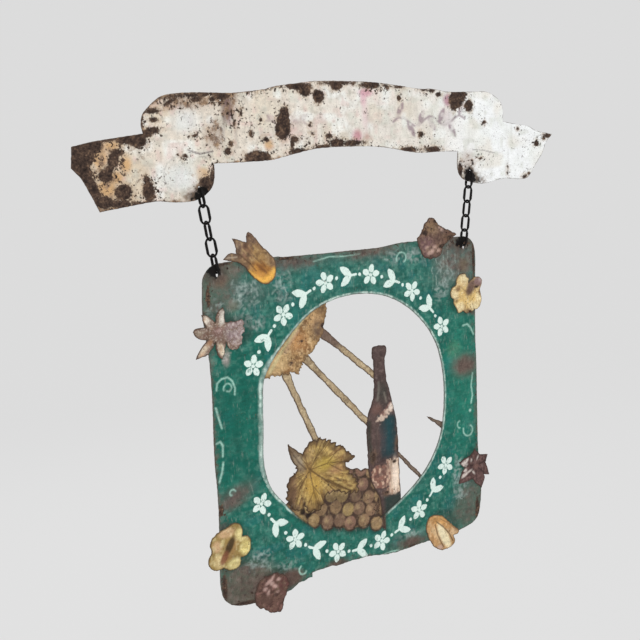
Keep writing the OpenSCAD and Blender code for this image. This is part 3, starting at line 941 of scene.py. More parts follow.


# Painting of the banner. An oval is given by its middle, its reach across and up, and its turn in degrees

# Rust blisters, tan stains, dirty patches, and soot with painted shade round the chain holes
BANNER_RUST = [
    (-430, 289, 24, 12, 8), (-402, 299, 34, 4, 9), (-362, 300, 23, 8, 12), (-352, 294, 13, 8),
    (-448, 270, 12, 20), (-434, 274, 15, 14), (-436, 256, 14, 11, -35), (-427, 236, 8, 24, 26),
    (-392, 269, 8, 13, -25), (-385, 280, 9, 5), (-405, 248, 11, 9), (-398, 256, 6, 6), (-410, 211, 13, 9),
    (-390, 208, 21, 5), (-380, 224, 13, 11), (-342, 223, 9, 15), (-344, 238, 5, 8), (-354, 206, 15, 3),
    (-328, 336, 12, 4), (-327, 324, 6, 3.5), (-330, 309, 11, 5), (-340, 304, 9, 5), (-110, 327, 9, 12),
    (-114, 305, 14, 15), (-112, 316, 12, 16), (-82, 370, 24, 6), (-71, 363, 10, 9), (-46, 355, 10.5, 10.5),
    (-11, 370, 11, 6), (-8, 375, 30, 3), (-160, 264, 22, 10), (-211, 275, 6, 6), (-205, 286, 4, 3),
    (-144, 291, 6, 4), (-94, 289, 7, 5), (-98, 283, 4, 7), (-88, 271, 15, 5), (-15, 281, 17, 7),
    (-41, 275, 18, 4), (17, 280, 22, 5), (-29, 293, 6, 4), (-251, 231, 10, 8), (-246, 224, 10, 9),
    (-239, 236, 4, 14), (56, 372, 20, 6), (86, 370, 5, 3), (112, 369, 9, 3), (111, 351, 4.5, 4.5),
    (180, 362, 8, 3), (165, 364, 7, 2.5), (195, 356, 6, 4), (234, 347, 16, 15), (243, 352, 13, 10),
    (229, 339, 8, 11), (262, 336, 9, 10), (255, 356, 5, 4), (295, 307, 4, 3), (156, 290, 6, 5),
    (131, 266, 19, 4), (180, 264, 17, 5), (240, 228, 5, 14), (422, 267, 7, 6), (449, 280, 9, 4),
    (441, 276, 4, 3), (391, 208, 5, 3), (403, 212, 3, 2), (376, 294, 2.5, 2.5), (350, 228, 2, 2),
    (350, 217, 2, 3), (287, 244, 4, 2), (268, 238, 3, 3), (-281, 271, 4, 3), (-263, 299, 4, 3),
    (-64, 310, 3, 3), (-185, 331, 3, 5), (-198, 318, 2, 4), (-152, 320, 3, 3), (-170, 300, 3, 4),
    (-60, 298, 3, 2), (-260, 358, 48, 3, 4), (-258, 352, 9, 4), (-216, 356, 12, 5), (-232, 352, 6, 4),
    (-300, 349, 12, 3, 25),
]
BANNER_TAN = [
    (-411, 274, 12, 14), (-392, 289, 15, 6), (-405, 230, 13, 12), (-390, 245, 10, 8), (-256, 243, 11, 10),
    (-140, 283, 8, 8), (-412, 290, 8, 5), (-374, 262, 8, 10),
]
BANNER_DIRT = [(-266, 350, 44, 13, 5), (-206, 345, 14, 22), (-232, 300, 16, 22), (256, 244, 15, 14)]
BANNER_BLOTS = [
    (-262, 211, 13, 6), (-257, 217, 9, 7), (-250, 211, 8, 4), (261, 213, 10, 8), (259, 221, 7, 7),
    (268, 208, 8, 3),
]


def paint_banner(x, z, distance):
    """White paint, creamy on the left, clean on the right, with rust blisters and worn traces of ornament."""
    coat = Coat(x, z, (229, 223, 214))
    coat.dab(x - 215, (245, 247, 247), 80)
    coat.dab(-60 - x, (222, 211, 196), 120, 0.8)
    coat.dab(-345 - x, (204, 180, 150), 25, 0.75)
    coat.oval((-360, 245, 13, 16), (216, 204, 184), 8, 0.7)
    coat.patches(30, 11, 0.5, 0.85, (216, 204, 182), 0.4)
    coat.patches(12, 12, 0.55, 0.9, (206, 208, 196), 0.5)
    coat.patches(17, 13, 0.55, 0.9, (240, 243, 240), 0.6)
    coat.patches(5, 14, 0.58, 0.9, (184, 174, 160), step_up(300, -100, x) * 0.5)
    coat.patches(9, 15, 0.62, 0.9, (214, 184, 176), step_up(260, -100, x) * 0.5)
    runs = step_up(0.6, 0.85, mottle(x * 2.4, z * 0.5, 6, 17))
    coat.lay(runs * step_up(330, 60, x) * 0.4, (196, 190, 178))
    coat.ovals(BANNER_TAN, (202, 158, 104), 5, 0.8)
    coat.ovals(BANNER_DIRT, (172, 148, 130), 10, 0.5)
    paint_banner_traces(coat)
    paint_scroll(coat, x, z)
    wear_banner(coat, x, z, distance)
    return coat


def paint_banner_traces(coat):
    """What is left of old brush strokes and pink blossoms."""
    coat.oval((-292, 240, 34, 19, -8), (220, 225, 224), 12, 0.7)
    coat.oval((-276, 321, 21, 16), (224, 229, 230), 12, 0.6)
    coat.line(curl(-291, 240, 33, 60, 250), 1.4, (140, 138, 136), 0.8, 0.5)
    coat.line([(-276, 279), (-258, 273), (-236, 276)], 2.2, (96, 84, 88), 0.8, 0.85)
    coat.line([(268, 261), (292, 259), (320, 253)], 1.6, (130, 126, 124), 0.8, 0.8)
    coat.line([(-262, 268), (-246, 270), (-236, 269)], 1.3, (124, 112, 108), 0.8, 0.6)
    coat.line([(352, 262), (352, 240), (350, 212)], 1.2, (170, 168, 166), 0.8, 0.5)
    coat.oval((-210, 352, 9, 10), (84, 70, 70), 5, 0.85)
    coat.oval((-206, 334, 6, 16), (112, 80, 90), 4, 0.8)
    coat.oval((-214, 330, 3, 18), (96, 76, 76), 3, 0.65)
    coat.oval((-196, 318, 3, 26), (160, 140, 130), 4, 0.5)
    coat.oval((45, 360, 13, 7), (196, 128, 148), 4, 0.7)
    coat.oval((40, 350, 5, 10), (214, 160, 176), 4, 0.6)
    coat.oval((25, 291, 9, 10), (184, 96, 116), 6, 0.7)
    coat.oval((44, 289, 6, 5), (178, 138, 124), 4, 0.65)
    coat.oval((216, 346, 10, 10), (168, 104, 128), 5, 0.75)
    coat.oval((42, 325, 5, 20), (228, 196, 202), 6, 0.55)
    coat.oval((-100, 305, 22, 20), (206, 178, 172), 12, 0.45)
    coat.oval((212, 316, 14, 16), (204, 190, 194), 10, 0.5)


def paint_scroll(coat, x, z):
    """A scroll with leaves, rubbed almost away."""
    rubbed = 0.35 + 0.65 * step_up(0.35, 0.6, mottle(x, z, 7, 18))
    wave = [(98 + 11 * k, 312 + 8 * math.sin(k * 1.1)) for k in range(15)]
    shape = np.maximum(OUTSIDE, stroke(x, z, wave, 3.6))
    for k in range(1, 14, 2):
        turn, side = (62, 12) if k % 4 == 1 else (-58, -12)
        shape = np.maximum(shape, almond(x, z, wave[k][0] + 4, wave[k][1] + side, 30, 11, turn))
    coat.lay(step_up(-1.6, 1.6, shape) * rubbed * 0.72, (134, 110, 122))
    wave = [(-142 + 10 * k, 313 + 7 * math.sin(k * 1.2 + 1)) for k in range(9)]
    shape = np.maximum(OUTSIDE, stroke(x, z, wave, 3.0))
    shape = np.maximum(shape, almond(x, z, -78, 320, 26, 9, 34))
    shape = np.maximum(shape, almond(x, z, -134, 322, 22, 8, -40))
    coat.lay(step_up(-1.8, 1.8, shape) * rubbed * 0.6, (152, 128, 132))


def wear_banner(coat, x, z, distance):
    """Rust blisters, soot with painted shade round the chain holes, and paint worn thin on the left."""
    coat.rust = spots(x, z, BANNER_RUST)
    blots = spots(x, z, BANNER_BLOTS)
    halo = 0.25 + 0.75 * step_up(0.3, 0.6, mottle(x, z, 4, 19))
    coat.lay(step_up(-14, -2, blots) * halo * 0.75, (118, 92, 66))
    coat.dab(blots + 4, (62, 50, 42), 4, 0.75)
    coat.soot_and_shade(blots)
    dirt = np.zeros(x.shape)
    for place in BANNER_DIRT:
        dirt = np.maximum(dirt, step_up(-8, 8, spot(x, z, *place)))
    coat.worn = 0.26 * step_up(-300, -420, x) + 0.24 * step_up(220, -200, x) + 0.05 + 0.36 * dirt
    coat.worn += 0.25 * step_up(7, 0, distance) * step_up(120, -150, x)


# Painting of the panel

# Worn places, each with its turn and how far it is worn
PANEL_WORN = [
    (-246, 74, 34, 44, 0, 0.62), (-214, 98, 32, 14, 0, 0.7), (-108, 99, 38, 11, 0, 0.95),
    (-40, 106, 60, 5, 0, 0.7), (40, 102, 44, 9, 0, 0.95), (108, 108, 50, 4, 0, 0.6),
    (222, 84, 50, 32, 0, 0.78), (246, 52, 28, 40, 0, 0.72), (204, 44, 22, 16, 0, 0.5),
    (239, -120, 24, 16, 0, 0.95), (-239, -262, 28, 11, 22, 0.95), (-262, -200, 8, 60, 0, 0.6),
    (-232, -412, 50, 40, 0, 0.85), (-172, -424, 44, 20, 0, 0.9), (-256, -372, 20, 22, 0, 0.7),
    (-110, -428, 30, 8, 0, 0.8), (-46, -420, 24, 6, 0, 0.9), (104, -420, 28, 8, 0, 0.95),
    (60, -428, 30, 4, 0, 0.6), (246, -378, 30, 44, 0, 0.62), (218, -402, 34, 20, 0, 0.6),
    (262, -190, 6, 90, 0, 0.8), (262, 0, 7, 50, 0, 0.8), (-264, -60, 7, 60, 0, 0.7),
    (-262, -130, 7, 50, 0, 0.6), (-258, -300, 12, 14, 0, 0.8),
]

# Rust at the edges, stains along the lower edge, and soot with painted shade round the chain holes
PANEL_RUST = [
    (-260, 60, 4, 22), (-232, 108, 16, 4), (-120, 106, 22, 4), (34, 108, 30, 3), (240, 98, 22, 4),
    (264, 70, 4, 36), (-262, -276, 6, 10), (-240, -440, 34, 7), (-180, -434, 26, 6), (-264, -404, 5, 26),
    (260, -392, 5, 24), (-52, -424, 12, 3), (108, -427, 14, 3), (-267, -150, 2, 70), (266, -240, 3, 40),
]
PANEL_LOW_STAINS = [(-53, -418, 17, 7), (107, -420, 20, 7), (-142, -420, 24, 14), (-60, -424, 10, 4)]
PANEL_BLOTS = [(-249, 101, 10, 9), (-246, 94, 8, 6), (238, 105, 12, 8), (234, 99, 8, 5), (246, 108, 6, 4)]

# Brown and grey stains, mostly in the corners, with their colours and strengths
PANEL_CORNERS = [
    ((-246, 70, 38, 50), (92, 98, 86), 0.6), ((-228, 96, 40, 18), (104, 88, 76), 0.5),
    ((226, 74, 50, 42), (112, 116, 110), 0.65), ((-226, -412, 54, 42), (98, 86, 72), 0.75),
    ((-176, -424, 40, 22), (104, 74, 68), 0.6), ((244, -378, 34, 48), (98, 100, 88), 0.65),
    ((222, -392, 30, 22), (84, 98, 86), 0.5), ((239, -120, 24, 17), (122, 84, 79), 0.8),
    ((-238, -261, 28, 12, 22), (112, 86, 84), 0.8), ((-108, 100, 36, 10), (112, 90, 88), 0.7),
    ((40, 102, 42, 8), (102, 80, 76), 0.75), ((104, -420, 26, 7), (104, 84, 76), 0.7),
    ((196, 44, 26, 22), (84, 104, 94), 0.5), ((-190, 62, 34, 26), (78, 94, 88), 0.6),
]

# Pale scrolls along the sides, with the width of the brush
PANEL_SCROLLS = [
    ([(-256, -85), (-254, -74), (-246, -68), (-236, -67), (-228, -74), (-224, -86), (-225, -96)], 2.6),
    (curl(-236, -84, 8, 200, -120), 2.0),
    ([(-259, -112), (-256, -126), (-251, -145)], 3.0),
    ([(-262, -168), (-255, -166), (-251, -174), (-252, -190)], 3.0),
    ([(-252, -200), (-255, -214), (-261, -230)], 3.0),
    (curl(-240, -252, 6, 20, 250), 2.6),
    (curl(106, 85, 12, 200, -60), 2.0),
    ([(236, -48), (246, -46), (254, -54), (260, -66)], 3.0),
    ([(256, -137), (252, -160), (255, -178), (251, -192)], 3.0),
    (curl(243, -240, 13, 160, 420), 2.6),
    (curl(224, -228, 8, 100, 260), 2.0),
    (curl(-119, -412, 9, 120, 330), 2.6),
    ([(6, -424), (34, -428), (60, -426), (78, -428)], 2.2),
    ([(-70, 96), (-40, 101), (-10, 99), (20, 100)], 1.6),
]

# Smears of faded foliage, with their number of strokes
PANEL_SMEARS = [
    ((-198, 58, 22, 22), 44), ((-130, 62, 16, 22), 34), ((-202, -376, 22, 16), 34),
    ((204, 52, 20, 18), 30), ((216, -306, 10, 22), 20), ((226, -342, 20, 22), 30),
    ((100, -406, 18, 5), 12), ((-190, 14, 24, 14), 22), ((190, 20, 12, 18), 14), ((-250, 40, 12, 14), 14),
    ((-150, -400, 20, 8), 12), ((130, 88, 60, 12), 26),
]

# Scratches: the middle and the length of each
PANEL_SCRATCHES = [
    (196, 78, 26), (202, 64, 20), (207, 82, 30), (214, 60, 18), (188, 60, 14), (222, 74, 16),
    (182, 76, 12), (228, 52, 14), (178, 40, 16), (172, 58, 10), (-196, 74, 10), (-186, 66, 12),
    (-206, 52, 10), (-132, 70, 14), (-126, 52, 16),
]

# Where flowers stand close over the panel and shade it
FLOWER_PLACES = [
    (-185, 112, 36, 18, -42), (-250, 4, 36, 32), (-213, 3, 24, 22), (178, 112, 36, 28), (246, 6, 38, 34),
    (255, -310, 28, 28), (178, -415, 32, 38, 30), (-248, -340, 34, 38), (-176, -428, 32, 28),
]


def garland(x, z):
    """Blossoms and pairs of leaves in turn, with dots between, along two arcs over and under the window."""
    best = np.full(x.shape, OUTSIDE)
    for first, turn_step in GARLAND_ARCS:
        for index in range(GARLAND_COUNT):
            angle = first + index * turn_step
            motif = leaf_pair if index % 2 else blossom
            add_motif(best, x, z, motif, angle)
            if index < GARLAND_COUNT - 1:
                add_motif(best, x, z, dot, angle + turn_step / 2)
    return best


def add_motif(best, x, z, motif, angle):
    """Adds one motif of the garland where it stands on the oval."""
    turn = math.radians(angle)
    middle_x = GARLAND_MIDDLE[0] + GARLAND_REACH[0] * math.cos(turn)
    middle_z = GARLAND_MIDDLE[1] + GARLAND_REACH[1] * math.sin(turn) - GARLAND_DROP * (turn > math.pi)
    near = np.hypot(x - middle_x, z - middle_z) < MOTIF_REACH
    best[near] = np.maximum(best[near], motif(x[near], z[near], middle_x, middle_z, angle))


def dot(x, z, middle_x, middle_z, turn):
    """A dot between two motifs."""
    return 3.0 - np.hypot(x - middle_x, z - middle_z)


def blossom(x, z, middle_x, middle_z, turn):
    """Five petals round a dot."""
    best = 3.2 - np.hypot(x - middle_x, z - middle_z)
    for k in range(5):
        angle = turn + 72 * k
        petal_x, petal_z = around(middle_x, middle_z, 10.8, angle)
        best = np.maximum(best, almond(x, z, petal_x, petal_z, 15.0, 10.6, angle))
    return best


def leaf_pair(x, z, middle_x, middle_z, turn):
    """Two leaves spread from a short stalk that follows the oval."""
    root = around(middle_x, middle_z, -5.0, turn + 90)
    tail = around(middle_x, middle_z, -15, turn + 90)
    best = np.maximum(OUTSIDE, stroke(x, z, [tail, root], 4.4))
    for side in (-1, 1):
        lean = turn + 90 + side * 38
        leaf_x, leaf_z = around(*root, 12.2, lean)
        best = np.maximum(best, almond(x, z, leaf_x, leaf_z, 27, 12.4, lean))
    return best


def paint_panel(x, z, distance):
    """Green paint, worn brown at the corners, with scrolls, faded foliage and a pale rim round the window."""
    coat = Coat(x, z, (28, 106, 91))
    coat.dab(z - 10, (60, 114, 103), 50, 0.75)
    coat.dab(-330 - z, (50, 112, 98), 50, 0.6)
    coat.weather(21, (16, 82, 73), (80, 138, 124), 0.5, 26)
    coat.weather(24, (20, 86, 76), (104, 150, 136), 0.5, 9)
    coat.patches(18, 27, 0.58, 0.85, (34, 108, 108), 0.35)
    coat.oval((-228, -150, 44, 110), (20, 97, 82), 25, 0.6)
    coat.oval((232, -160, 36, 120), (38, 124, 104), 25, 0.6)
    for place, colour, strength in PANEL_CORNERS:
        coat.oval(place, colour, 16, strength)
    paint_panel_smears(coat, x, z)
    # Painted shadow on the panel round each flower
    for place in FLOWER_PLACES:
        coat.dab(spot(x, z, *place) + 3, (34, 46, 40), 6, 0.5)
    paint_panel_dabs(coat)
    by_window = spot(x, z, *WINDOW) > 0
    paint_window_rim(coat, x, z, distance, by_window)
    wear_panel(coat, x, z, distance, by_window)
    coat.mark = garland(x, z)
    paint_low_grapes(coat, x, z)
    return coat


def paint_panel_smears(coat, x, z):
    """Faded foliage and pale scratches near the corners."""
    for number, (place, count) in enumerate(PANEL_SMEARS):
        smear = step_up(-12, 10, spot(x, z, *place)) * step_up(0.48, 0.74, mottle(x, z, 5, 220 + number))
        coat.lay(smear * 0.55, (150, 164, 160))
        coat.foliage(place, 200 + number, count, (160, 176, 170), 0.5)
        coat.foliage(place, 300 + number, count // 2, (24, 66, 60), 0.5)
    for number, (sx, sz, length) in enumerate(PANEL_SCRATCHES):
        bend = 3.0 * math.sin(number * 1.9)
        points = [(sx, sz + length / 2), (sx + bend, sz), (sx + bend * 0.4, sz - length / 2)]
        coat.line(points, 1.5, (172, 190, 182), 0.9, 0.6)


def paint_panel_dabs(coat):
    """Single stains and flakes, and the pale scrolls along the sides."""
    coat.oval((214, -87, 14, 14), (84, 140, 108), 8, 0.5)
    coat.oval((248, -205, 2.5, 3), (190, 225, 210), 1.0, 0.85)
    coat.oval((-238, 82, 11, 9), (142, 104, 86), 6, 0.5)
    coat.oval((-194, 84, 10, 10), (30, 108, 92), 6, 0.5)
    coat.oval((-236, -40, 6, 10), (156, 146, 140), 3, 0.7)
    coat.foliage((-236, -38, 5, 9), 29, 10, (196, 186, 180), 0.6)
    coat.oval((-234, -26, 4, 5), (120, 126, 116), 3, 0.6)
    coat.oval((-218, 42, 10, 8), (124, 112, 98), 6, 0.5)
    coat.oval((240, 60, 12, 12), (120, 88, 56), 7, 0.6)
    coat.ovals(PANEL_LOW_STAINS, (98, 66, 58), 6, 0.8)
    # The tulip's left petal painted onto the panel, with a painted highlight along it
    coat.line([(-222, 118), (-236, 119), (-252, 117)], 5.0, (120, 104, 92), 1.5, 0.9)
    coat.line([(-226, 119), (-240, 119)], 1.6, (196, 180, 160), 0.8, 0.8)
    for points, width in PANEL_SCROLLS:
        coat.line(points, width, (176, 220, 204), 1.2, 0.75)


def paint_window_rim(coat, x, z, distance, by_window):
    """A pale broken line round the window, wider on the left, and shade where the grapes hang over it."""
    left = step_up(-120, -160, x) * step_up(-30, -60, z) * step_up(-300, -240, z)
    broken = 0.5 + 0.5 * step_up(0.3, 0.6, mottle(x, z, 6, 31))
    streaky = 0.5 + 0.5 * step_up(0.3, 0.65, mottle(x * 2.0, z * 0.4, 4, 32))
    by_grapes = step_up(-140, -110, x) * step_up(60, 30, x) * step_up(-300, -320, z)
    line = by_window * step_up(4.6 + 6 * left, 3.0 + 3 * left, distance) * (1.0 - 0.85 * by_grapes)
    coat.lay(line * broken * streaky * 0.88, (206, 226, 216))
    rim = by_window * step_up(1.8 + 2 * left, 0.8 + 1.5 * left, distance) * (1.0 - by_grapes)
    coat.lay(rim * 0.6, (128, 144, 138))
    coat.lay(by_window * step_up(9, 1, distance) * by_grapes * 0.6, (36, 50, 42))


def wear_panel(coat, x, z, distance, by_window):
    """Corners and outer edges worn to the iron, rust along them, and soot with painted shade round the chain
    holes.
    """
    worn = np.zeros(x.shape)
    for *place, amount in PANEL_WORN:
        worn = np.maximum(worn, amount * step_up(-16, 12, spot(x, z, *place)))
    outer = np.where(by_window, 0.0, step_up(9, 0, distance))
    coat.worn = np.maximum(worn, 0.75 * outer) * 0.72 + np.where(by_window, 0.0, 0.04)
    coat.rust = spots(x, z, PANEL_RUST) - 1.0
    blots = spots(x, z, PANEL_BLOTS)
    coat.dab(blots + 8, (60, 50, 46), 7, 0.7)
    coat.soot_and_shade(blots)


def paint_low_grapes(coat, x, z):
    """The lowest grapes of the bunch, painted over the window's rim onto the panel, with painted shade round
    them.
    """
    bunch = paint_grapes(x, z, np.full(x.shape, EDGE_REACH))
    slanted_left = 0.67 * (x + 136) + 0.74 * (z + 308)
    sides = [LOW_GRAPES_RIGHT - x, x - LOW_GRAPES_LEFT, slanted_left]
    shape = np.minimum.reduce([grape_depth(x, z)[0] + 2.2, *sides])
    cover = step_up(-1.0, 1.0, shape)
    # Painted shade on the panel round the painted grapes
    coat.dab(shape + 5, (26, 44, 38), 4, 0.5)
    coat.paint += (bunch.paint - coat.paint) * cover[:, None]
    coat.lay(step_up(3.4, 0.6, shape) * cover * 0.75, (52, 40, 36))
    coat.dab(np.minimum(shape, x - LOW_GRAPES_SHADE), (60, 45, 41), 2, 0.9)
    coat.worn = coat.worn * (1.0 - cover) + bunch.worn * cover
    coat.sound = shape > -3


# Painting of the flowers

def paint_tulip(x, z, distance):
    """Brown petals, with a bright orange one in front."""
    coat = Coat(x, z, (132, 104, 78))
    coat.oval((-172, 112, 20, 14, -40), (170, 136, 86), 8, 0.7)
    coat.oval((-192, 122, 10, 14, 20), (146, 108, 86), 6, 0.6)
    coat.oval((-220, 116, 20, 7, 10), (116, 100, 88), 5, 0.85)
    coat.oval((-206, 136, 7, 11, 30), (124, 104, 90), 4, 0.8)
    coat.weather(31, (92, 68, 52), (200, 170, 126), 0.45, 9)
    # Painted highlights along the petal edges
    coat.line([(-213, 142), (-202, 126)], 2.6, (188, 170, 146), 1.4, 0.6)
    coat.line([(-230, 116), (-208, 116)], 2.0, (180, 164, 144), 1.2, 0.6)
    coat.line([(-183, 140), (-168, 114)], 3.0, (182, 150, 100), 1.6, 0.5)
    coat.line([(-196, 126), (-180, 106)], 2.4, (190, 162, 116), 1.4, 0.55)
    coat.ovals([(-185, 149, 4, 5), (-212, 142, 4, 4), (-188, 118, 3.5, 4), (-192, 131, 3, 4),
                (-203, 126, 3, 6)], (72, 52, 44), 3, 0.85)
    coat.oval((-164, 88, 22, 13, -30), (200, 142, 68), 6, 0.88)
    coat.line([(-188, 89), (-178, 80), (-164, 74), (-150, 80), (-143, 90)], 9.0, (240, 184, 86), 4.0, 0.8)
    coat.oval((-165, 96, 8, 6, -30), (136, 90, 52), 4, 0.8)
    coat.oval((-154, 92, 4, 3), (140, 94, 52), 2.5, 0.7)
    coat.line([(-174, 102), (-166, 94), (-158, 88)], 4.0, (118, 76, 44), 2.0, 0.75)
    coat.line([(-166, 106), (-160, 98)], 3.0, (112, 72, 44), 2.0, 0.7)
    coat.oval((-180, 104, 3, 4), (110, 76, 50), 2.5, 0.7)
    coat.oval((-170, 118, 3, 3), (104, 74, 54), 2.5, 0.6)
    coat.line([(-206, 122), (-188, 106), (-176, 92)], 2.0, (84, 62, 44), 1.2, 0.75)
    coat.line([(-194, 136), (-178, 114), (-166, 102)], 1.8, (88, 66, 48), 1.2, 0.65)
    coat.rim(distance, 2.6, (82, 64, 52), 0.75)
    coat.worn = 0.28 + 0.3 * step_up(112, 142, z)
    return coat


DAISY_PETALS = [
    ((-265, 25, 10, 4.8, -52), (228, 218, 202)), ((-238, 28, 12, 5.0, 75), (224, 218, 206)),
    ((-279, 7, 9, 3.6, 5), (160, 144, 126)), ((-243, -23, 12, 4.8, -70), (230, 216, 190)),
    ((-275, -21, 13, 4.6, 42), (222, 204, 178)),
]


def paint_daisy(x, z, distance):
    """White petals on the left, a faded grey pink half on the right."""
    coat = Coat(x, z, (128, 106, 94))
    coat.weather(34, (92, 72, 62), (176, 154, 134), 0.6, 7)
    for place, colour in DAISY_PETALS:
        coat.oval(place, colour, 2.4, 0.92)
    coat.ovals([(-287, 7, 5, 4), (-285, -31, 5, 5), (-238, 41, 3, 4), (-272, 35, 4, 4),
                (-239, -36, 4, 4)], (104, 84, 70), 3, 0.65)
    coat.ovals([(-260, 20, 4, 4), (-268, 4, 5, 2.5), (-246, -9, 3, 5)], (110, 80, 68), 2.5, 0.75)
    coat.ovals([(-263, -10, 6, 4, 42), (-245, -21, 2.5, 5), (-277, -26, 5, 2, 42),
                (-270, 27, 2, 4, -52)], (178, 134, 100), 2.5, 0.7)
    right = step_up(-236, -226, x)
    coat.oval((-213, 3, 22, 20), (152, 132, 132), 6, 0.9)
    coat.foliage((-211, 3, 17, 17), 36, 46, (202, 188, 188), 0.6)
    coat.foliage((-213, 2, 17, 17), 37, 34, (112, 92, 94), 0.65)
    coat.oval((-200, 8, 5, 10), (132, 134, 120), 4, 0.5)
    coat.oval((-247, 6, 10, 8), (128, 98, 92), 4, 0.85)
    coat.oval((-246, 7, 4, 3), (176, 150, 144), 2, 0.7)
    for turn in (98, 150, 196, 245):
        coat.line(spoke(-250, 4, turn, 9, 28), 1.8, (82, 62, 50), 1.0, 0.75)
    coat.weather(38, (120, 94, 78), (238, 230, 218), 0.35, 3.5)
    coat.lay(step_up(2.2, 0.7, distance) * (0.8 - 0.6 * right), (84, 66, 54))
    coat.worn = 0.26 + 0.1 * right
    return coat


def paint_bud(x, z, distance):
    """Rusty brown, with a few pale pink painted highlights."""
    coat = Coat(x, z, (110, 86, 76))
    coat.oval((168, 132, 18, 12), (144, 118, 88), 8, 0.8)
    coat.oval((158, 102, 16, 18), (112, 84, 86), 8, 0.8)
    coat.oval((205, 116, 18, 12), (104, 78, 66), 6, 0.8)
    coat.weather(41, (74, 54, 50), (152, 126, 108), 0.6, 8)
    # Painted highlights
    coat.ovals([(168, 90, 8, 4, 20), (177, 98, 5, 3), (160, 98, 4, 3), (190, 128, 6, 3, -30),
                (184, 92, 4, 3)], (204, 172, 158), 2.5, 0.75)
    coat.line([(182, 134), (192, 118), (196, 98)], 2.4, (70, 50, 44), 1.4, 0.7)
    coat.line([(156, 124), (172, 114), (184, 112)], 1.8, (78, 58, 50), 1.2, 0.6)
    coat.rim(distance, 3.0, (72, 56, 48), 0.8)
    coat.rust = spots(x, z, [(195, 98, 9, 4), (156, 124, 6, 4), (212, 112, 8, 4), (180, 142, 5, 3)])
    coat.worn += 0.45
    return coat


YELLOW_FOLDS = [
    [(228, 25), (243, 14)], [(212, 1), (230, 5)], [(238, -24), (243, -12)], [(262, -22), (258, -10)],
    [(284, 10), (268, 9)],
]


def paint_yellow_flower(x, z, distance):
    """Yellow petals with pale tips, and brown rust over the upper right ones."""
    coat = Coat(x, z, (216, 188, 132))
    coat.oval((246, -2, 30, 18), (228, 192, 122), 8, 0.85)
    coat.ovals([(240, 37, 9, 11), (218, 9, 8, 9), (230, -14, 10, 9), (263, -16, 11, 8),
                (273, -1, 7, 10)], (238, 222, 178), 5, 0.8)
    coat.weather(44, (172, 136, 92), (246, 232, 190), 0.45, 6)
    for points in YELLOW_FOLDS:
        coat.line(points, 2.0, (128, 98, 70), 1.4, 0.6)
    coat.oval((256, 21, 9, 13, -20), (110, 86, 80), 4, 0.94)
    coat.oval((250, 12, 7, 7, -30), (104, 80, 70), 4, 0.85)
    coat.oval((273, 28, 10, 10), (132, 106, 107), 3, 0.94)
    # Painted highlight on the round dark petal
    coat.oval((278, 32, 4, 4), (184, 166, 164), 2, 0.6)
    coat.ovals([(226, 19, 5, 4), (277, 7, 4, 6), (248, -22, 7, 4),
                (222, -2, 4, 3)], (112, 82, 58), 2.5, 0.75)
    coat.rim(distance, 2.2, (124, 98, 70), 0.7)
    coat.rust = spots(x, z, [(252, -24, 5, 3), (240, 46, 4, 2), (268, 19, 5, 2.5)]) - 0.5
    coat.worn += 0.2
    return coat


def paint_star_flower(x, z, distance):
    """Dark red petals, with white paint left on the nearest ones."""
    coat = Coat(x, z, (94, 70, 67))
    coat.weather(47, (60, 44, 45), (138, 108, 102), 0.6, 7)
    coat.ovals([(228, -302, 9, 4.4, 30), (231, -314, 5, 3, -20), (237, -296, 5, 2.5, 60),
                (224, -307, 4, 2.4), (234, -306, 4, 2, 40), (242, -318, 5, 1.6, 20), (230, -323, 8, 3, 24),
                (247, -298, 3, 1.6, 70), (262, -296, 4, 1.6, 60),
                (251, -322, 4, 1.6, -50)], (224, 212, 204), 1.8, 0.85)
    coat.oval((257, -312, 6, 5), (128, 96, 88), 3, 0.7)
    for turn in range(15, 375, 51):
        coat.line(spoke(257, -311, turn, 8, 26), 1.8, (52, 38, 38), 1.0, 0.7)
    coat.rim(distance, 2.4, (58, 44, 42), 0.65)
    coat.worn += 0.32
    return coat


def paint_crocus(x, z, distance):
    """Orange petals round a pale one, with dark lines between."""
    coat = Coat(x, z, (190, 150, 104))
    coat.oval((168, -397, 26, 10, -28), (212, 160, 98), 6, 0.85)
    coat.oval((200, -423, 9, 7), (216, 184, 146), 4, 0.7)
    coat.oval((154, -414, 9, 22, 20), (206, 158, 108), 5, 0.75)
    coat.weather(51, (146, 110, 72), (226, 198, 156), 0.5, 8)
    coat.oval((178, -426, 8.5, 28, 28), (236, 222, 184), 2.5, 0.95)
    coat.oval((160, -418, 5, 18, 32), (218, 186, 142), 3, 0.7)
    coat.oval((168, -446, 7, 5), (190, 162, 150), 3, 0.7)
    coat.line([(162, -396), (176, -408), (190, -424), (198, -440)], 2.2, (92, 70, 46), 1.0, 0.9)
    coat.line([(158, -400), (164, -422), (176, -446)], 2.2, (98, 74, 48), 1.0, 0.85)
    coat.line([(178, -410), (184, -428)], 1.2, (176, 148, 104), 0.8, 0.7)
    coat.line([(170, -392), (188, -404), (206, -420)], 1.8, (118, 88, 58), 1.0, 0.6)
    coat.oval((208, -420, 5, 5), (140, 108, 80), 4, 0.5)
    coat.rim(distance, 2.4, (104, 80, 56), 0.75)
    coat.worn += 0.22
    return coat


PANSY_PETALS = [
    ((-229, -321, 12, 11), (226, 210, 146)), ((-223, -345, 11, 11), (220, 204, 132)),
    ((-243, -367, 14, 9), (218, 204, 142)), ((-271, -356, 9, 12), (218, 196, 144)),
    ((-273, -332, 8, 9), (208, 172, 132)), ((-256, -313, 13, 8), (210, 174, 136)),
]


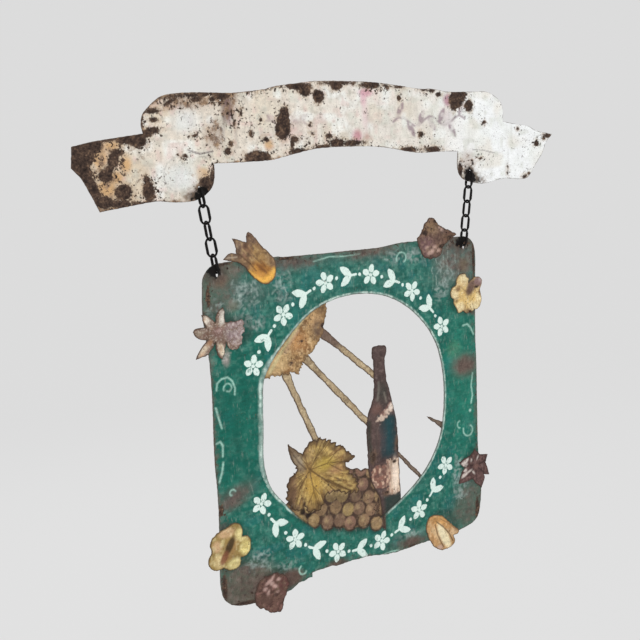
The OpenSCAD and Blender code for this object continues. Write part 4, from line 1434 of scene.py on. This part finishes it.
def paint_pansy(x, z, distance):
    """Pale yellow petals round a dark slanting heart."""
    coat = Coat(x, z, (152, 128, 76))
    for place, colour in PANSY_PETALS:
        coat.oval(place, colour, 4, 0.95)
    coat.weather(54, (156, 128, 78), (240, 228, 178), 0.34, 8)
    coat.oval((-252, -342, 19, 10, 60), (158, 122, 78), 4, 0.7)
    coat.oval((-251, -335, 15, 6, 60), (68, 54, 34), 2, 0.95)
    coat.oval((-262, -353, 12, 5.5, 60), (126, 80, 58), 2, 0.9)
    coat.oval((-264, -328, 6, 3, 60), (226, 210, 154), 2, 0.6)
    coat.rim(distance, 2.6, (96, 78, 50), 0.8)
    coat.worn += 0.18
    return coat


def paint_worn_flower(x, z, distance):
    """Red brown, worn almost to the iron."""
    coat = Coat(x, z, (104, 76, 68))
    coat.weather(57, (68, 48, 44), (146, 108, 100), 0.7, 8)
    coat.ovals([(-186, -414, 7, 3, 30), (-174, -424, 6, 3, -30), (-193, -424, 4, 3),
                (-178, -408, 6, 2, 60), (-167, -414, 4, 3), (-188, -432, 5, 2.5, 70),
                (-180, -418, 4, 3, 10), (-170, -434, 3, 2)], (206, 172, 162), 2, 0.7)
    coat.oval((-156, -426, 13, 12), (94, 58, 56), 5, 0.75)
    coat.oval((-196, -442, 14, 9), (90, 68, 60), 6, 0.8)
    coat.rim(distance, 3.0, (70, 52, 46), 0.8)
    coat.worn += 0.42
    return coat


# Painting of the figures in the window

def paint_sun(x, z, distance):
    """Ochre paint, patchy and lighter along a line, rusted at its right end."""
    coat = Coat(x, z, (180, 146, 102))
    coat.weather(61, (132, 94, 58), (222, 192, 148), 0.85, 11)
    coat.weather(64, (104, 78, 52), (214, 180, 136), 0.7, 5)
    coat.oval((-68, 4, 14, 9, 40), (204, 166, 122), 6, 0.5)
    coat.oval((-66, -14, 11, 15, -20), (96, 78, 68), 6, 0.75)
    coat.oval((-58, 16, 9, 10), (112, 88, 64), 6, 0.6)
    coat.oval((-104, -31, 16, 12, 40), (196, 142, 90), 8, 0.55)
    coat.oval((-148, -62, 26, 12, 30), (206, 178, 130), 8, 0.5)
    coat.line([(-130, -44), (-118, -26), (-104, -12)], 5.0, (216, 184, 150), 3.0, 0.5)
    coat.line([(-160, -72), (-134, -38), (-98, 2), (-72, 26)], 5.0, (206, 198, 150), 3.0, 0.6)
    coat.rim(distance, 5.0, (116, 92, 64), 0.6)
    coat.rust = spots(x, z, [(-56, -10, 5, 5), (-120, -62, 3, 2), (-98, -30, 3, 2)]) - 0.5
    coat.worn = 0.3 + 0.2 * step_up(-90, -60, x)
    return coat


def paint_ray(x, z, distance):
    """Pale ochre, darker near the sun and beyond the bottle."""
    coat = Coat(x, z, (176, 156, 124))
    coat.weather(67, (122, 102, 80), (204, 186, 152), 0.6, 9)
    coat.oval((-48, -30, 34, 26), (100, 80, 74), 10, 0.85)
    coat.dab(x - 84, (104, 88, 82), 8, 0.8)
    coat.rim(distance, 2.6, (86, 70, 58), 0.85)
    coat.worn += 0.3
    return coat


BOTTLE_RUST = [(30, -326, 5, 10), (33, -250, 4, 8), (76, -266, 5, 3), (58, -318, 5, 3), (84, -240, 3, 9)]


def paint_bottle(x, z, distance):
    """Brown glass, blue green in the light, with painted highlights on the neck, a torn pale label and a band
    at the shoulder.
    """
    coat = Coat(x, z, (88, 71, 68))
    coat.oval((53, -78, 14, 26), (94, 78, 76), 8, 0.6)
    coat.weather(71, (60, 48, 48), (130, 112, 106), 0.5, 7)
    coat.oval((56, -140, 10, 18), (54, 60, 54), 9, 0.65)
    # Painted highlights down the neck
    coat.line([(49, -122), (48, -138), (45, -152)], 4.0, (134, 130, 120), 2.4, 0.55)
    coat.line([(60, -142), (64, -158)], 3.0, (146, 138, 126), 2.2, 0.5)
    coat.oval((43, -168, 10, 9), (118, 84, 74), 5, 0.65)
    coat.oval((40, -205, 16, 44), (98, 80, 76), 10, 0.5)
    coat.line([(27, -188), (25, -220), (29, -256)], 8.0, (54, 56, 48), 4.0, 0.75)
    coat.line([(40, -196), (40, -250)], 3.0, (74, 66, 62), 2.5, 0.5)
    glass = box(x, z, 47, 84, -258, -180) + 7 * (mottle(x, z, 9, 75) - 0.5)
    coat.dab(glass - 2, (32, 60, 65), 7, 0.92)
    coat.oval((66, -212, 7, 30), (34, 78, 84), 6, 0.55)
    coat.oval((54, -222, 6, 24), (84, 74, 76), 6, 0.5)
    band = stroke(x, z, [(48, -187), (60, -179), (84, -159)], 9.0) + 8 * (mottle(x, z, 4, 73) - 0.5)
    coat.dab(band, (222, 198, 180), 2.0, 0.88)
    coat.oval((74, -167, 6, 6), (238, 222, 208), 3, 0.7)
    coat.line([(50, -178), (62, -171), (72, -160)], 2.4, (140, 100, 90), 1.4, 0.75)
    coat.oval((59, -179, 4, 3), (150, 112, 100), 2, 0.7)
    paint_label(coat, x, z)
    coat.oval((77, -290, 6, 28), (248, 230, 212), 3, 0.75)
    coat.dab(np.minimum(-324 - z, x - 52), (38, 60, 56), 6, 0.8)
    coat.rim(distance, 3.0, (58, 46, 44), 0.7)
    coat.rust = spots(x, z, BOTTLE_RUST) - 0.5
    coat.worn += 0.26
    return coat


def paint_label(coat, x, z):
    """The bottle's plain label, torn at its rims, pale on the right and rubbed brown on the left."""
    label = np.maximum(box(x, z, 58, 90, -326, -258), box(x, z, 26, 72, -311, -266))
    torn = label + 10 * (mottle(x, z, 10, 76) - 0.42) + 8 * (mottle(x, z, 4, 77) - 0.5) - 3
    streaks = mottle(x * 2.0, z * 0.3, 4, 78)
    faded = step_up(70, 54, x + 18 * (streaks - 0.5))
    pale = step_up(-2, 2, torn) * (1.0 - faded)
    brown = step_up(-2, 2, torn) * faded
    coat.lay(pale * 0.94, (234, 210, 186))
    coat.lay(brown * 0.92, (140, 100, 87))
    coat.lay(pale * step_up(0.56, 0.7, streaks) * 0.6, (170, 122, 100))
    coat.lay(brown * step_up(0.54, 0.74, mottle(x, z, 5, 79)) * 0.75, (218, 184, 160))
    coat.lay(brown * step_up(0.42, 0.3, mottle(x, z, 5, 74)) * 0.7, (98, 70, 66))


# Where the leaf's veins and streaks begin, and its veins
LEAF_STALK = (-97, -245)
LEAF_VEINS = [
    [LEAF_STALK, (-84, -228), (-62, -206)], [LEAF_STALK, (-60, -240), (-12, -246)],
    [LEAF_STALK, (-66, -268), (-18, -298)], [LEAF_STALK, (-92, -276), (-82, -318)],
    [LEAF_STALK, (-116, -268), (-128, -302)], [LEAF_STALK, (-104, -232), (-112, -222)],
    [(-62, -240), (-46, -226)], [(-58, -243), (-36, -258)], [(-70, -265), (-56, -284)],
    [(-62, -271), (-36, -276)], [(-94, -270), (-80, -290)], [(-91, -282), (-102, -300)],
    [(-112, -262), (-128, -272)],
]


def vein_depth(x, z):
    """The veins of the leaf."""
    best = np.full(x.shape, OUTSIDE)
    for points in LEAF_VEINS:
        best = np.maximum(best, stroke(x, z, points, 2.0))
    return best


def paint_leaf(x, z, distance):
    """Olive paint streaked outward from the stalk, dark at its rim and veins."""
    coat = Coat(x, z, (150, 119, 74))
    coat.oval((-62, -262, 34, 30), (176, 144, 84), 16, 0.8)
    coat.oval((-74, -212, 22, 13), (182, 152, 88), 8, 0.75)
    coat.oval((-99, -214, 10, 16), (150, 122, 92), 6, 0.7)
    coat.oval((-66, -199, 16, 6), (158, 134, 106), 5, 0.65)
    coat.oval((-34, -227, 16, 10), (160, 122, 82), 6, 0.7)
    turn = np.arctan2(z - LEAF_STALK[1], x - LEAF_STALK[0])
    reach = np.hypot(x - LEAF_STALK[0], z - LEAF_STALK[1])
    streaks = mottle(turn * 60.0, reach * 0.10, 2.2, 81)
    outward = step_up(4, 18, reach)
    coat.lay(step_up(0.54, 0.8, streaks) * outward * 0.7, (98, 74, 48))
    coat.lay(step_up(0.46, 0.2, streaks) * outward * 0.55, (216, 188, 118))
    coat.weather(82, (104, 80, 52), (210, 180, 116), 0.5, 9)
    # Painted highlight in the upper lobe
    coat.oval((-67, -240, 18, 11), (198, 170, 80), 7, 0.6)
    coat.oval((-92, -274, 15, 24), (196, 158, 76), 8, 0.6)
    coat.oval((-45, -254, 14, 8), (180, 138, 100), 6, 0.6)
    coat.oval((-57, -293, 7, 5), (168, 130, 116), 4, 0.6)
    coat.oval((-124, -216, 12, 30, 26), (160, 144, 122), 4, 0.85)
    coat.line([(-134, -200), (-118, -226), (-104, -242)], 3.0, (84, 68, 54), 1.4, 0.75)
    coat.oval((-132, -264, 10, 24), (120, 92, 72), 6, 0.75)
    coat.oval((-134, -288, 10, 18), (108, 82, 66), 6, 0.7)
    coat.oval((-18, -238, 12, 8), (102, 80, 60), 5, 0.7)
    coat.oval((-98, -312, 12, 8), (112, 86, 52), 6, 0.6)
    coat.oval((-126, -306, 8, 8), (142, 118, 96), 4, 0.6)
    coat.oval((-137, -293, 4, 8), (34, 28, 26), 3, 0.8)
    coat.dab(vein_depth(x, z), (78, 58, 36), 0.9, 0.6)
    coat.line([(-98, -242), (-71, -266), (-44, -284), (-12, -300)], 2.8, (92, 68, 42), 1.2, 0.65)
    dark_rim = step_up(10, 1, distance + 10 * (mottle(x, z, 10, 85) - 0.5))
    coat.lay(dark_rim * 0.65, (88, 67, 48))
    coat.rim(distance, 3.0, (66, 50, 36), 0.9)
    coat.worn += 0.22
    return coat


def leaf_relief(x, z, distance):
    """The leaf swells a little between sunken veins."""
    swell = 0.9 * step_up(0, 14, distance)
    return swell - 0.5 * step_up(-1.5, 0.6, vein_depth(x, z)) * step_up(0, 4, distance)


def grape_places():
    """Middles of the grapes, in sloping rows."""
    places = []
    lean = math.radians(GRAPE_LEAN)
    for row in range(-2, 4):
        for column in range(-2, 12):
            uneven = 2.4 * math.sin(row * 2.3 + column * 1.7)
            across = column * GRAPE_PITCH + (row % 2) * GRAPE_PITCH / 2 + 8 + uneven
            down = row * GRAPE_ROW + 6 + 2.2 * math.sin(row * 1.1 + column * 2.9)
            px = GRAPE_START[0] + across * math.cos(lean) + down * math.sin(lean)
            pz = GRAPE_START[1] + across * math.sin(lean) - down * math.cos(lean)
            places.append((px, pz))
    return places


GRAPES = grape_places()


def grape_depth(x, z):
    """How deep each point lies in its grape, and which grape that is."""
    best = np.full(x.shape, OUTSIDE)
    which = np.zeros(x.shape, int)
    for index, (px, pz) in enumerate(GRAPES):
        depth = GRAPE_SIZE - np.hypot(x - px, z - pz)
        which = np.where(depth > best, index, which)
        best = np.maximum(best, depth)
    return best, which


def grape_relief(x, z, distance):
    """Each grape is a low dome."""
    reach = np.clip(grape_depth(x, z)[0] / GRAPE_SIZE, 0.0, 1.0)
    return GRAPE_DOME * np.sqrt(np.clip(1.0 - (1.0 - reach) ** 2, 0.0, 1.0)) * step_up(0, 4, distance)


def paint_grapes(x, z, distance):
    """Brown grapes of several tints, most with a painted highlight at the upper left, over dark gaps, with
    painted shade under the leaf.
    """
    coat = Coat(x, z, (70, 54, 46))
    depth, which = grape_depth(x, z)
    chance = np.random.default_rng(81).random((len(GRAPES), 2))
    tints = [(138, 112, 84), (154, 128, 90), (126, 100, 82), (164, 140, 94), (138, 106, 90)]
    for index, tint in enumerate(tints):
        picked = (chance[which, 0] * len(tints)).astype(int) == index
        coat.dab(np.where(picked, depth - 1.2, OUTSIDE), tint, 1.4, 0.95)
    # A painted highlight at the upper left of most grapes
    for index, (px, pz) in enumerate(GRAPES):
        if chance[index, 1] > 0.3:
            light = 4.4 - np.hypot(x - px + 2.8, z - pz - 3.0)
            coat.dab(np.where(which == index, light, OUTSIDE), (190, 164, 122), 3.2, 0.5)
    coat.dab(np.where(depth > 1.0, x - 14, OUTSIDE), (136, 104, 94), 14, 0.35)
    # Painted shade on the grapes under the leaf's lower edge
    coat.line([(-84, -302), (-60, -301), (-24, -310), (6, -304)], 15.0, (66, 50, 46), 7.0, 0.5)
    coat.weather(91, (84, 66, 52), (164, 140, 106), 0.35, 7)
    coat.oval((-140, -290, 18, 24), (88, 68, 48), 8, 0.5)
    coat.oval((-114, -312, 5, 6), (22, 18, 16), 2, 0.9)
    coat.oval((-102, -321, 7, 4, 20), (24, 20, 18), 2, 0.85)
    coat.rim(distance, 3.0, (54, 42, 35), 0.85)
    coat.rust = spots(x, z, [(38, -330, 3, 10)]) - 0.5
    coat.worn += 0.16
    return coat


# Cut edges: how each sheet's outline differs from its solid's

def trim_panel(loop):
    """The lower edge is cut unevenly, with a small ledge left of the middle."""
    x, z = loop[:, 0], loop[:, 1]
    start, end = LEDGE_ENDS
    low = (z < LOW_EDGE) & (np.abs(x) < LOW_EDGE_REACH)
    ledge = np.where(low & (x > start) & (x < end), (x - start) / (end - start), 0.0)
    return cut_in(loop, low * ragged(loop, 1.1, 9.0, 111) - LEDGE_DROP * ledge)


def trim_sun(loop):
    """A torn edge, fringed low down by the rays."""
    x, z = loop[:, 0], loop[:, 1]
    fringe = np.exp(-(np.hypot(x + 108, z + 66) / 20.0) ** 2)
    fringe = fringe + 0.6 * np.exp(-(np.hypot(x + 150, z + 84) / 16.0) ** 2)
    hairs = mottle(x, z, 2.4, 95) - 0.45
    return cut_in(loop, 0.3 - hairs * (2.0 + 12.0 * fringe) + ragged(loop, 1.2, 6.0, 96))


def trim_ray(loop):
    """Uneven width, a flare where the ray leaves the sun, and thinner beyond the bottle."""
    x = loop[:, 0]
    depth = ragged(loop, 0.8, 9.0, 97) + 2.2 * step_up(50, 90, x)
    for start_x, start_z in RAY_STARTS:
        away = np.hypot(x - start_x, loop[:, 1] - start_z)
        depth -= RAY_FLARE * np.exp(-(away / 16.0) ** 2)
    return cut_in(loop, depth)


def trim_stub(loop):
    """The broken stub is thin."""
    away = loop[:, 0] - loop[:, 0].min()
    return cut_in(loop, 2.6 * step_up(6, 22, away) + ragged(loop, 0.4, 6.0, 94))


def trim_leaf(loop):
    """Coarse uneven teeth, long ones low on the left, and a plain stalk."""
    x, z = loop[:, 0], loop[:, 1]
    blade = step_up(14, 26, np.hypot(x + 124, z + 212))
    size = 1.0 + 3.6 * step_up(0.4, 0.75, mottle(x, z, 16, 93)) + 2.0 * step_up(-280, -300, z)
    saw = teeth(loop, 11.0) * size + (mottle(x, z, 4.0, 92) - 0.5) * 3.0
    return cut_in(loop, blade * (saw - 1.4) + ragged(loop, 0.7, 5.0, 98))


def trim_bottle(loop):
    """Uneven, but close along the grapes."""
    x, z = loop[:, 0], loop[:, 1]
    by_grapes = step_up(62, 54, x) * step_up(-262, -274, z)
    return cut_in(loop, ragged(loop, 0.8, 7.0, 99) * (1.0 - by_grapes) - 0.5 * by_grapes)


def trim_tulip(loop):
    """Slightly uneven."""
    return cut_in(loop, ragged(loop, 0.8, 7.0, 99))


def trim_worn_edge(loop):
    """Eaten away by rust."""
    return cut_in(loop, ragged(loop, 1.6, 6.0, 101))


def trim_star(loop):
    """Shorter petals, as their tips are bent and worn."""
    middle = (loop.min(axis=0) + loop.max(axis=0)) / 2.0
    away = np.linalg.norm(loop - middle, axis=1)
    longest = away.max()
    grown = longest * (away / longest) ** 0.55 * 0.98
    wobble = 1.0 + 0.10 * (mottle(loop[:, 0], loop[:, 1], 8.0, 103) - 0.5)
    return middle + (loop - middle) * (grown / away * wobble)[:, None]


def trim_daisy(loop):
    """A worn, crumbling edge on the right."""
    right = step_up(-236, -222, loop[:, 0])
    return cut_in(loop, right * ragged(loop, 1.5, 4.5, 107) + ragged(loop, 0.5, 5.0, 108))


def trim_pansy(loop):
    """Uneven, with small waves."""
    return cut_in(loop, ragged(loop, 0.9, 6.0, 109))


YELLOW_NOTCHES = [(222, 26), (211, -1), (236, -24), (262, -22), (284, 13), (250, 42)]


def trim_yellow_flower(loop):
    """Notches between the petals."""
    depth = ragged(loop, 0.6, 5.0, 105)
    for notch_x, notch_z in YELLOW_NOTCHES:
        away = np.hypot(loop[:, 0] - notch_x, loop[:, 1] - notch_z)
        depth = depth + 4.0 * np.exp(-(away / 5.0) ** 2)
    return cut_in(loop, depth)


# Materials of the pieces

# Tones of rust from dark to light, each with its place in the noise
IRON_TONES = [(0.38, (40, 33, 30)), (0.46, (64, 51, 45)), (0.53, (90, 68, 56)), (0.62, (130, 88, 62))]
BANNER_TONES = [(0.38, (44, 35, 31)), (0.46, (74, 58, 49)), (0.53, (104, 82, 66)), (0.62, (158, 136, 114))]
FIGURE_TONES = [(0.38, (56, 42, 34)), (0.46, (88, 64, 48)), (0.53, (116, 82, 58)), (0.62, (150, 106, 70))]
CHAIN_TONES = [(0.38, (8, 7, 7)), (0.48, (14, 12, 12)), (0.56, (24, 20, 19)), (0.66, (52, 42, 36))]

PANEL_BACK = rusted_iron("rusted panel back", IRON_TONES)
BANNER_BACK = rusted_iron("rusted banner back", BANNER_TONES)
FIGURE_BACK = rusted_iron("rusted figure back", FIGURE_TONES)
CHAIN_IRON = rusted_iron(
    "chain iron", CHAIN_TONES, roughness=(0.5, 0.8), scale=1.6, metal=0.1, shine=0.15, depth=0.25)
RIVET_IRON = rusted_iron("rivet iron", IRON_TONES, roughness=(0.5, 0.85), scale=2.0, metal=0.2, depth=0.2)
BANNER_PAINT = painted_sheet(
    "banner paint", patches=0.25, brush=0.25, grain=0.5, fade=0.0, ragged=3.2, specks=0.3, specks_worn=1.4,
    stain=(176, 146, 112), stain_strength=0.45, edge_width=0.9, edge_colour=(92, 78, 70), flecks=0.75,
    runs=0.12, grime_colour=(124, 114, 102), worn=((98, 82, 74), (136, 112, 92), (176, 148, 118)))
PANEL_PAINT = painted_sheet(
    "panel paint", patches=0.8, brush=0.9, grain=0.9, fade=0.45, ragged=3.0, specks=0.0,
    stain=(88, 90, 78), stain_strength=0.4, edge_width=0.9, edge_colour=(92, 84, 78), flecks=0.5, runs=0.2,
    grime_colour=(24, 66, 60), worn=((74, 60, 58), (100, 85, 78), (124, 112, 104)), worn_soft=0.17,
    mark_colour=(222, 240, 232), gloss=0.6)
ORANGE_PAINT = painted_sheet("orange paint")
WHITE_PAINT = painted_sheet("white paint")
BROWN_PAINT = painted_sheet("brown paint", specks=0.4)
YELLOW_PAINT = painted_sheet("yellow paint")
RED_PAINT = painted_sheet("red paint", specks=0.3, worn=((62, 46, 44), (88, 66, 62), (124, 96, 90)))
OCHRE_PAINT = painted_sheet("ochre paint", specks=0.3, worn=((96, 74, 52), (128, 100, 68), (172, 140, 98)))
BOTTLE_PAINT = painted_sheet("bottle paint", specks=0.3, worn=((60, 48, 46), (84, 66, 62), (122, 100, 92)))
GRAPE_PAINT = painted_sheet("grape paint", specks=0.3, worn=((70, 54, 42), (98, 78, 58), (132, 108, 80)))
LEAF_PAINT = painted_sheet("leaf paint", specks=0.3, worn=((86, 66, 42), (116, 92, 56), (160, 134, 84)))


# The pieces

def make_flowers():
    """The eight flowers on the panel's corners."""
    flowers = [
        ("tulip", "orange_paint", paint_tulip, ORANGE_PAINT, trim_tulip),
        ("daisy", "white_paint", paint_daisy, WHITE_PAINT, trim_daisy),
        ("bud", "brown_rust", paint_bud, BROWN_PAINT, trim_worn_edge),
        ("yellow_flower", "yellow_paint", paint_yellow_flower, YELLOW_PAINT, trim_yellow_flower),
        ("star_flower", "red_paint", paint_star_flower, RED_PAINT, trim_star),
        ("crocus", "orange_paint", paint_crocus, ORANGE_PAINT, trim_pansy),
        ("pansy", "yellow_paint", paint_pansy, YELLOW_PAINT, trim_pansy),
        ("worn_flower", "brown_rust", paint_worn_flower, BROWN_PAINT, trim_worn_edge),
    ]
    for node, slot, painter, paint, trim in flowers:
        cut_sheet(node, "panel", FINE_SPACING, painter, (paint, FIGURE_BACK), trim=trim)


def make_figures():
    """The sun, its rays, the bottle, the grapes and the leaf in the window."""
    ochre = (OCHRE_PAINT, FIGURE_BACK)
    bottle = (BOTTLE_PAINT, FIGURE_BACK)
    grape = (GRAPE_PAINT, FIGURE_BACK)
    leaf = (LEAF_PAINT, FIGURE_BACK)
    cut_sheet("sun", "panel", FIGURE_SPACING, paint_sun, ochre, trim=trim_sun)
    for node in ("upper_ray", "middle_ray", "lower_ray"):
        cut_sheet(node, "panel", FIGURE_SPACING, paint_ray, ochre, trim=trim_ray)
    cut_sheet("ray_stub", "panel", FIGURE_SPACING, paint_ray, ochre, trim=trim_stub)
    cut_sheet("bottle", "panel", FIGURE_SPACING, paint_bottle, bottle, trim=trim_bottle)
    cut_sheet("grapes", "panel", FINE_SPACING, paint_grapes, grape, grape_relief)
    cut_sheet("vine_leaf", "panel", FINE_SPACING, paint_leaf, leaf, leaf_relief, trim_leaf)


def make_sheets():
    """Every cut sheet of the sign."""
    cut_sheet("banner", "banner", BANNER_SPACING, paint_banner, (BANNER_PAINT, BANNER_BACK))
    panel = (PANEL_PAINT, PANEL_BACK)
    cut_sheet("panel", "panel", PANEL_SPACING, paint_panel, panel, trim=trim_panel)
    make_flowers()
    make_figures()


def outward_at(mesh, places):
    """The direction out of a mesh at each point, the same for all points in one place."""
    keys = [tuple(row) for row in np.round(places, 2).tolist()]
    total = {}
    for key, vertex in zip(keys, mesh.vertices):
        total[key] = total.get(key, Vector()) + vertex.normal
    return np.array([total[key].normalized() for key in keys])


def crusted_link(node):
    """A link with rust on its straight sides; its bows keep the room in which they turn."""
    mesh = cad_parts[node].data.copy()
    places = solid_points(node)
    spread = places - (places.min(axis=0) + places.max(axis=0)) / 2.0
    lengthways = np.linalg.svd(spread, full_matrices=False)[2][0]
    along = np.abs(spread @ lengthways)
    lumps = 0.75 + 0.5 * mottle(places[:, 0] + places[:, 1], places[:, 2], LINK_LUMP, 61)
    crust = LINK_CRUST * lumps * step_up(LINK_SIDE[1], LINK_SIDE[0], along / along.max())
    places += outward_at(mesh, places) * crust[:, None]
    mesh.vertices.foreach_set("co", (places * MM).astype(np.float32).ravel())
    mesh.materials.clear()
    mesh.materials.append(CHAIN_IRON)
    place_piece(node + "_crusted", mesh, node.removeprefix("chain_"), node)


def dress_packers():
    """The packers keep their solids and get a material."""
    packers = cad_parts["packers"].data
    packers.materials.clear()
    packers.materials.append(PANEL_BACK)


def rivet_places(node):
    """Middles of a node's rivet heads and the height of their tops behind the sheet."""
    places = solid_points(node)
    top = places[:, 1].max()
    heads = []
    for place in places[places[:, 1] > top - RIVET_TOP]:
        for head in heads:
            if math.hypot(place[0] - head[0][0], place[2] - head[0][2]) < RIVET_APART:
                head.append(place)
                break
        else:
            heads.append([place])
    return [np.mean(head, axis=0) for head in heads], top


def head_points(middle, top, number):
    """Rings of points up one hammered rivet head."""
    points = []
    base = top - RIVET_SOLID_HEIGHT - RIVET_SUNK
    shift = sheet_wave(middle[0], middle[2])
    for ring in range(RIVET_RINGS):
        lift = ring / (RIVET_RINGS - 1)
        radius = RIVET_RADIUS * math.cos(lift * math.pi / 2 * 0.96)
        height = base + RIVET_HEIGHT * math.sin(lift * math.pi / 2)
        for side in range(RIVET_SIDES):
            turn = 2 * math.pi * side / RIVET_SIDES
            dent = 1.0 + 0.05 * math.sin(3 * turn + number * 1.9) + 0.03 * math.sin(5 * turn + number)
            points.append((middle[0] + radius * dent * math.cos(turn), height + shift,
                           middle[2] + radius * dent * math.sin(turn)))
    return points


def head_faces(first):
    """Faces between the rings of one rivet head, and its cap."""
    faces = []
    for ring in range(RIVET_RINGS - 1):
        start = first + ring * RIVET_SIDES
        for side in range(RIVET_SIDES):
            a, b = start + side, start + (side + 1) % RIVET_SIDES
            faces.append((a, a + RIVET_SIDES, b + RIVET_SIDES, b))
    last = first + (RIVET_RINGS - 1) * RIVET_SIDES
    faces.append([last + side for side in reversed(range(RIVET_SIDES))])
    return faces


def make_rivets(node):
    """Hammered rivet heads behind the sheets."""
    middles, top = rivet_places(node)
    points, faces = [], []
    for number, middle in enumerate(middles):
        faces += head_faces(len(points))
        points += head_points(middle, top, number)
    mesh = bpy.data.meshes.new(node + "_heads")
    mesh.from_pydata([tuple(value * MM for value in point) for point in points], [], faces)
    mesh.polygons.foreach_set("use_smooth", np.ones(len(faces), bool))
    mesh.materials.append(RIVET_IRON)
    place_piece(node + "_heads", mesh, "panel", node)


# Stage

def make_floor():
    """A plain pale floor that keeps the sign's shadow."""
    bpy.ops.mesh.primitive_plane_add(size=FLOOR_SIZE, location=(0, 0, FLOOR_HEIGHT))
    floor = bpy.context.object
    floor.name = "floor"
    material = bpy.data.materials.new("pale floor")
    material.use_nodes = True
    material.node_tree.nodes.clear()
    nodes = Nodes(material.node_tree)
    diffuse = nodes.plain("ShaderNodeBsdfDiffuse", BACKGROUND)
    glow = nodes.plain("ShaderNodeEmission", FLOOR_GLOW)
    seen = nodes.times(nodes.seen_directly(), FLOOR_SHARE)
    nodes.mix_shaders(seen, diffuse, glow, "ShaderNodeOutputMaterial")
    floor.data.materials.append(material)


def make_world():
    """Even studio light, and the pale background behind the sign."""
    world = bpy.data.worlds.new("studio")
    world.use_nodes = True
    world.node_tree.nodes.clear()
    nodes = Nodes(world.node_tree)
    light = nodes.plain("ShaderNodeBackground", 1.0)
    light.inputs["Strength"].default_value = STUDIO_LIGHT
    backdrop = nodes.plain("ShaderNodeBackground", BACKGROUND)
    nodes.mix_shaders(nodes.seen_directly(), light, backdrop, "ShaderNodeOutputWorld")
    bpy.context.scene.world = world


def make_lamp(name, place, power):
    """A soft square lamp that shines on the sign."""
    data = bpy.data.lights.new(name, "AREA")
    data.size = LAMP_SIZE
    data.energy = power
    lamp = bpy.data.objects.new(name, data)
    lamp.location = place
    lamp.rotation_euler = (Vector(LAMP_AIM) - Vector(place)).to_track_quat("-Z", "Y").to_euler()
    bpy.context.scene.collection.objects.link(lamp)


def make_camera():
    """The camera where the photograph was taken from."""
    yaw, pitch, roll = (math.radians(angle) for angle in (CAMERA_YAW, CAMERA_PITCH, CAMERA_ROLL))
    ahead = Vector((math.sin(yaw) * math.cos(pitch), math.cos(yaw) * math.cos(pitch), -math.sin(pitch)))
    level = ahead.cross(Vector((0, 0, 1))).normalized()
    upright = level.cross(ahead)
    right = level * math.cos(roll) + upright * math.sin(roll)
    up = upright * math.cos(roll) - level * math.sin(roll)
    data = bpy.data.cameras.new("camera")
    data.lens = CAMERA_LENS
    data.sensor_width = CAMERA_SENSOR
    camera = bpy.data.objects.new("camera", data)
    place = Vector(CAMERA_AIM) - ahead * CAMERA_DISTANCE
    facing = Matrix((right, up, -ahead)).transposed().to_4x4()
    camera.matrix_world = Matrix.Translation(place) @ facing
    bpy.context.scene.collection.objects.link(camera)
    bpy.context.scene.camera = camera


def make_stage():
    """Floor, background, lamps and camera."""
    make_floor()
    make_world()
    for name, place, power in LAMPS:
        make_lamp(name, place, power)
    make_camera()
    bpy.context.scene.view_settings.view_transform = "Standard"


make_sheets()
dress_packers()
for chain_node in [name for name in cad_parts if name.startswith("chain_")]:
    crusted_link(chain_node)
for rivet_node in ("flower_rivets", "figure_rivets", "leaf_rivets", "ray_rivets"):
    make_rivets(rivet_node)
make_stage()
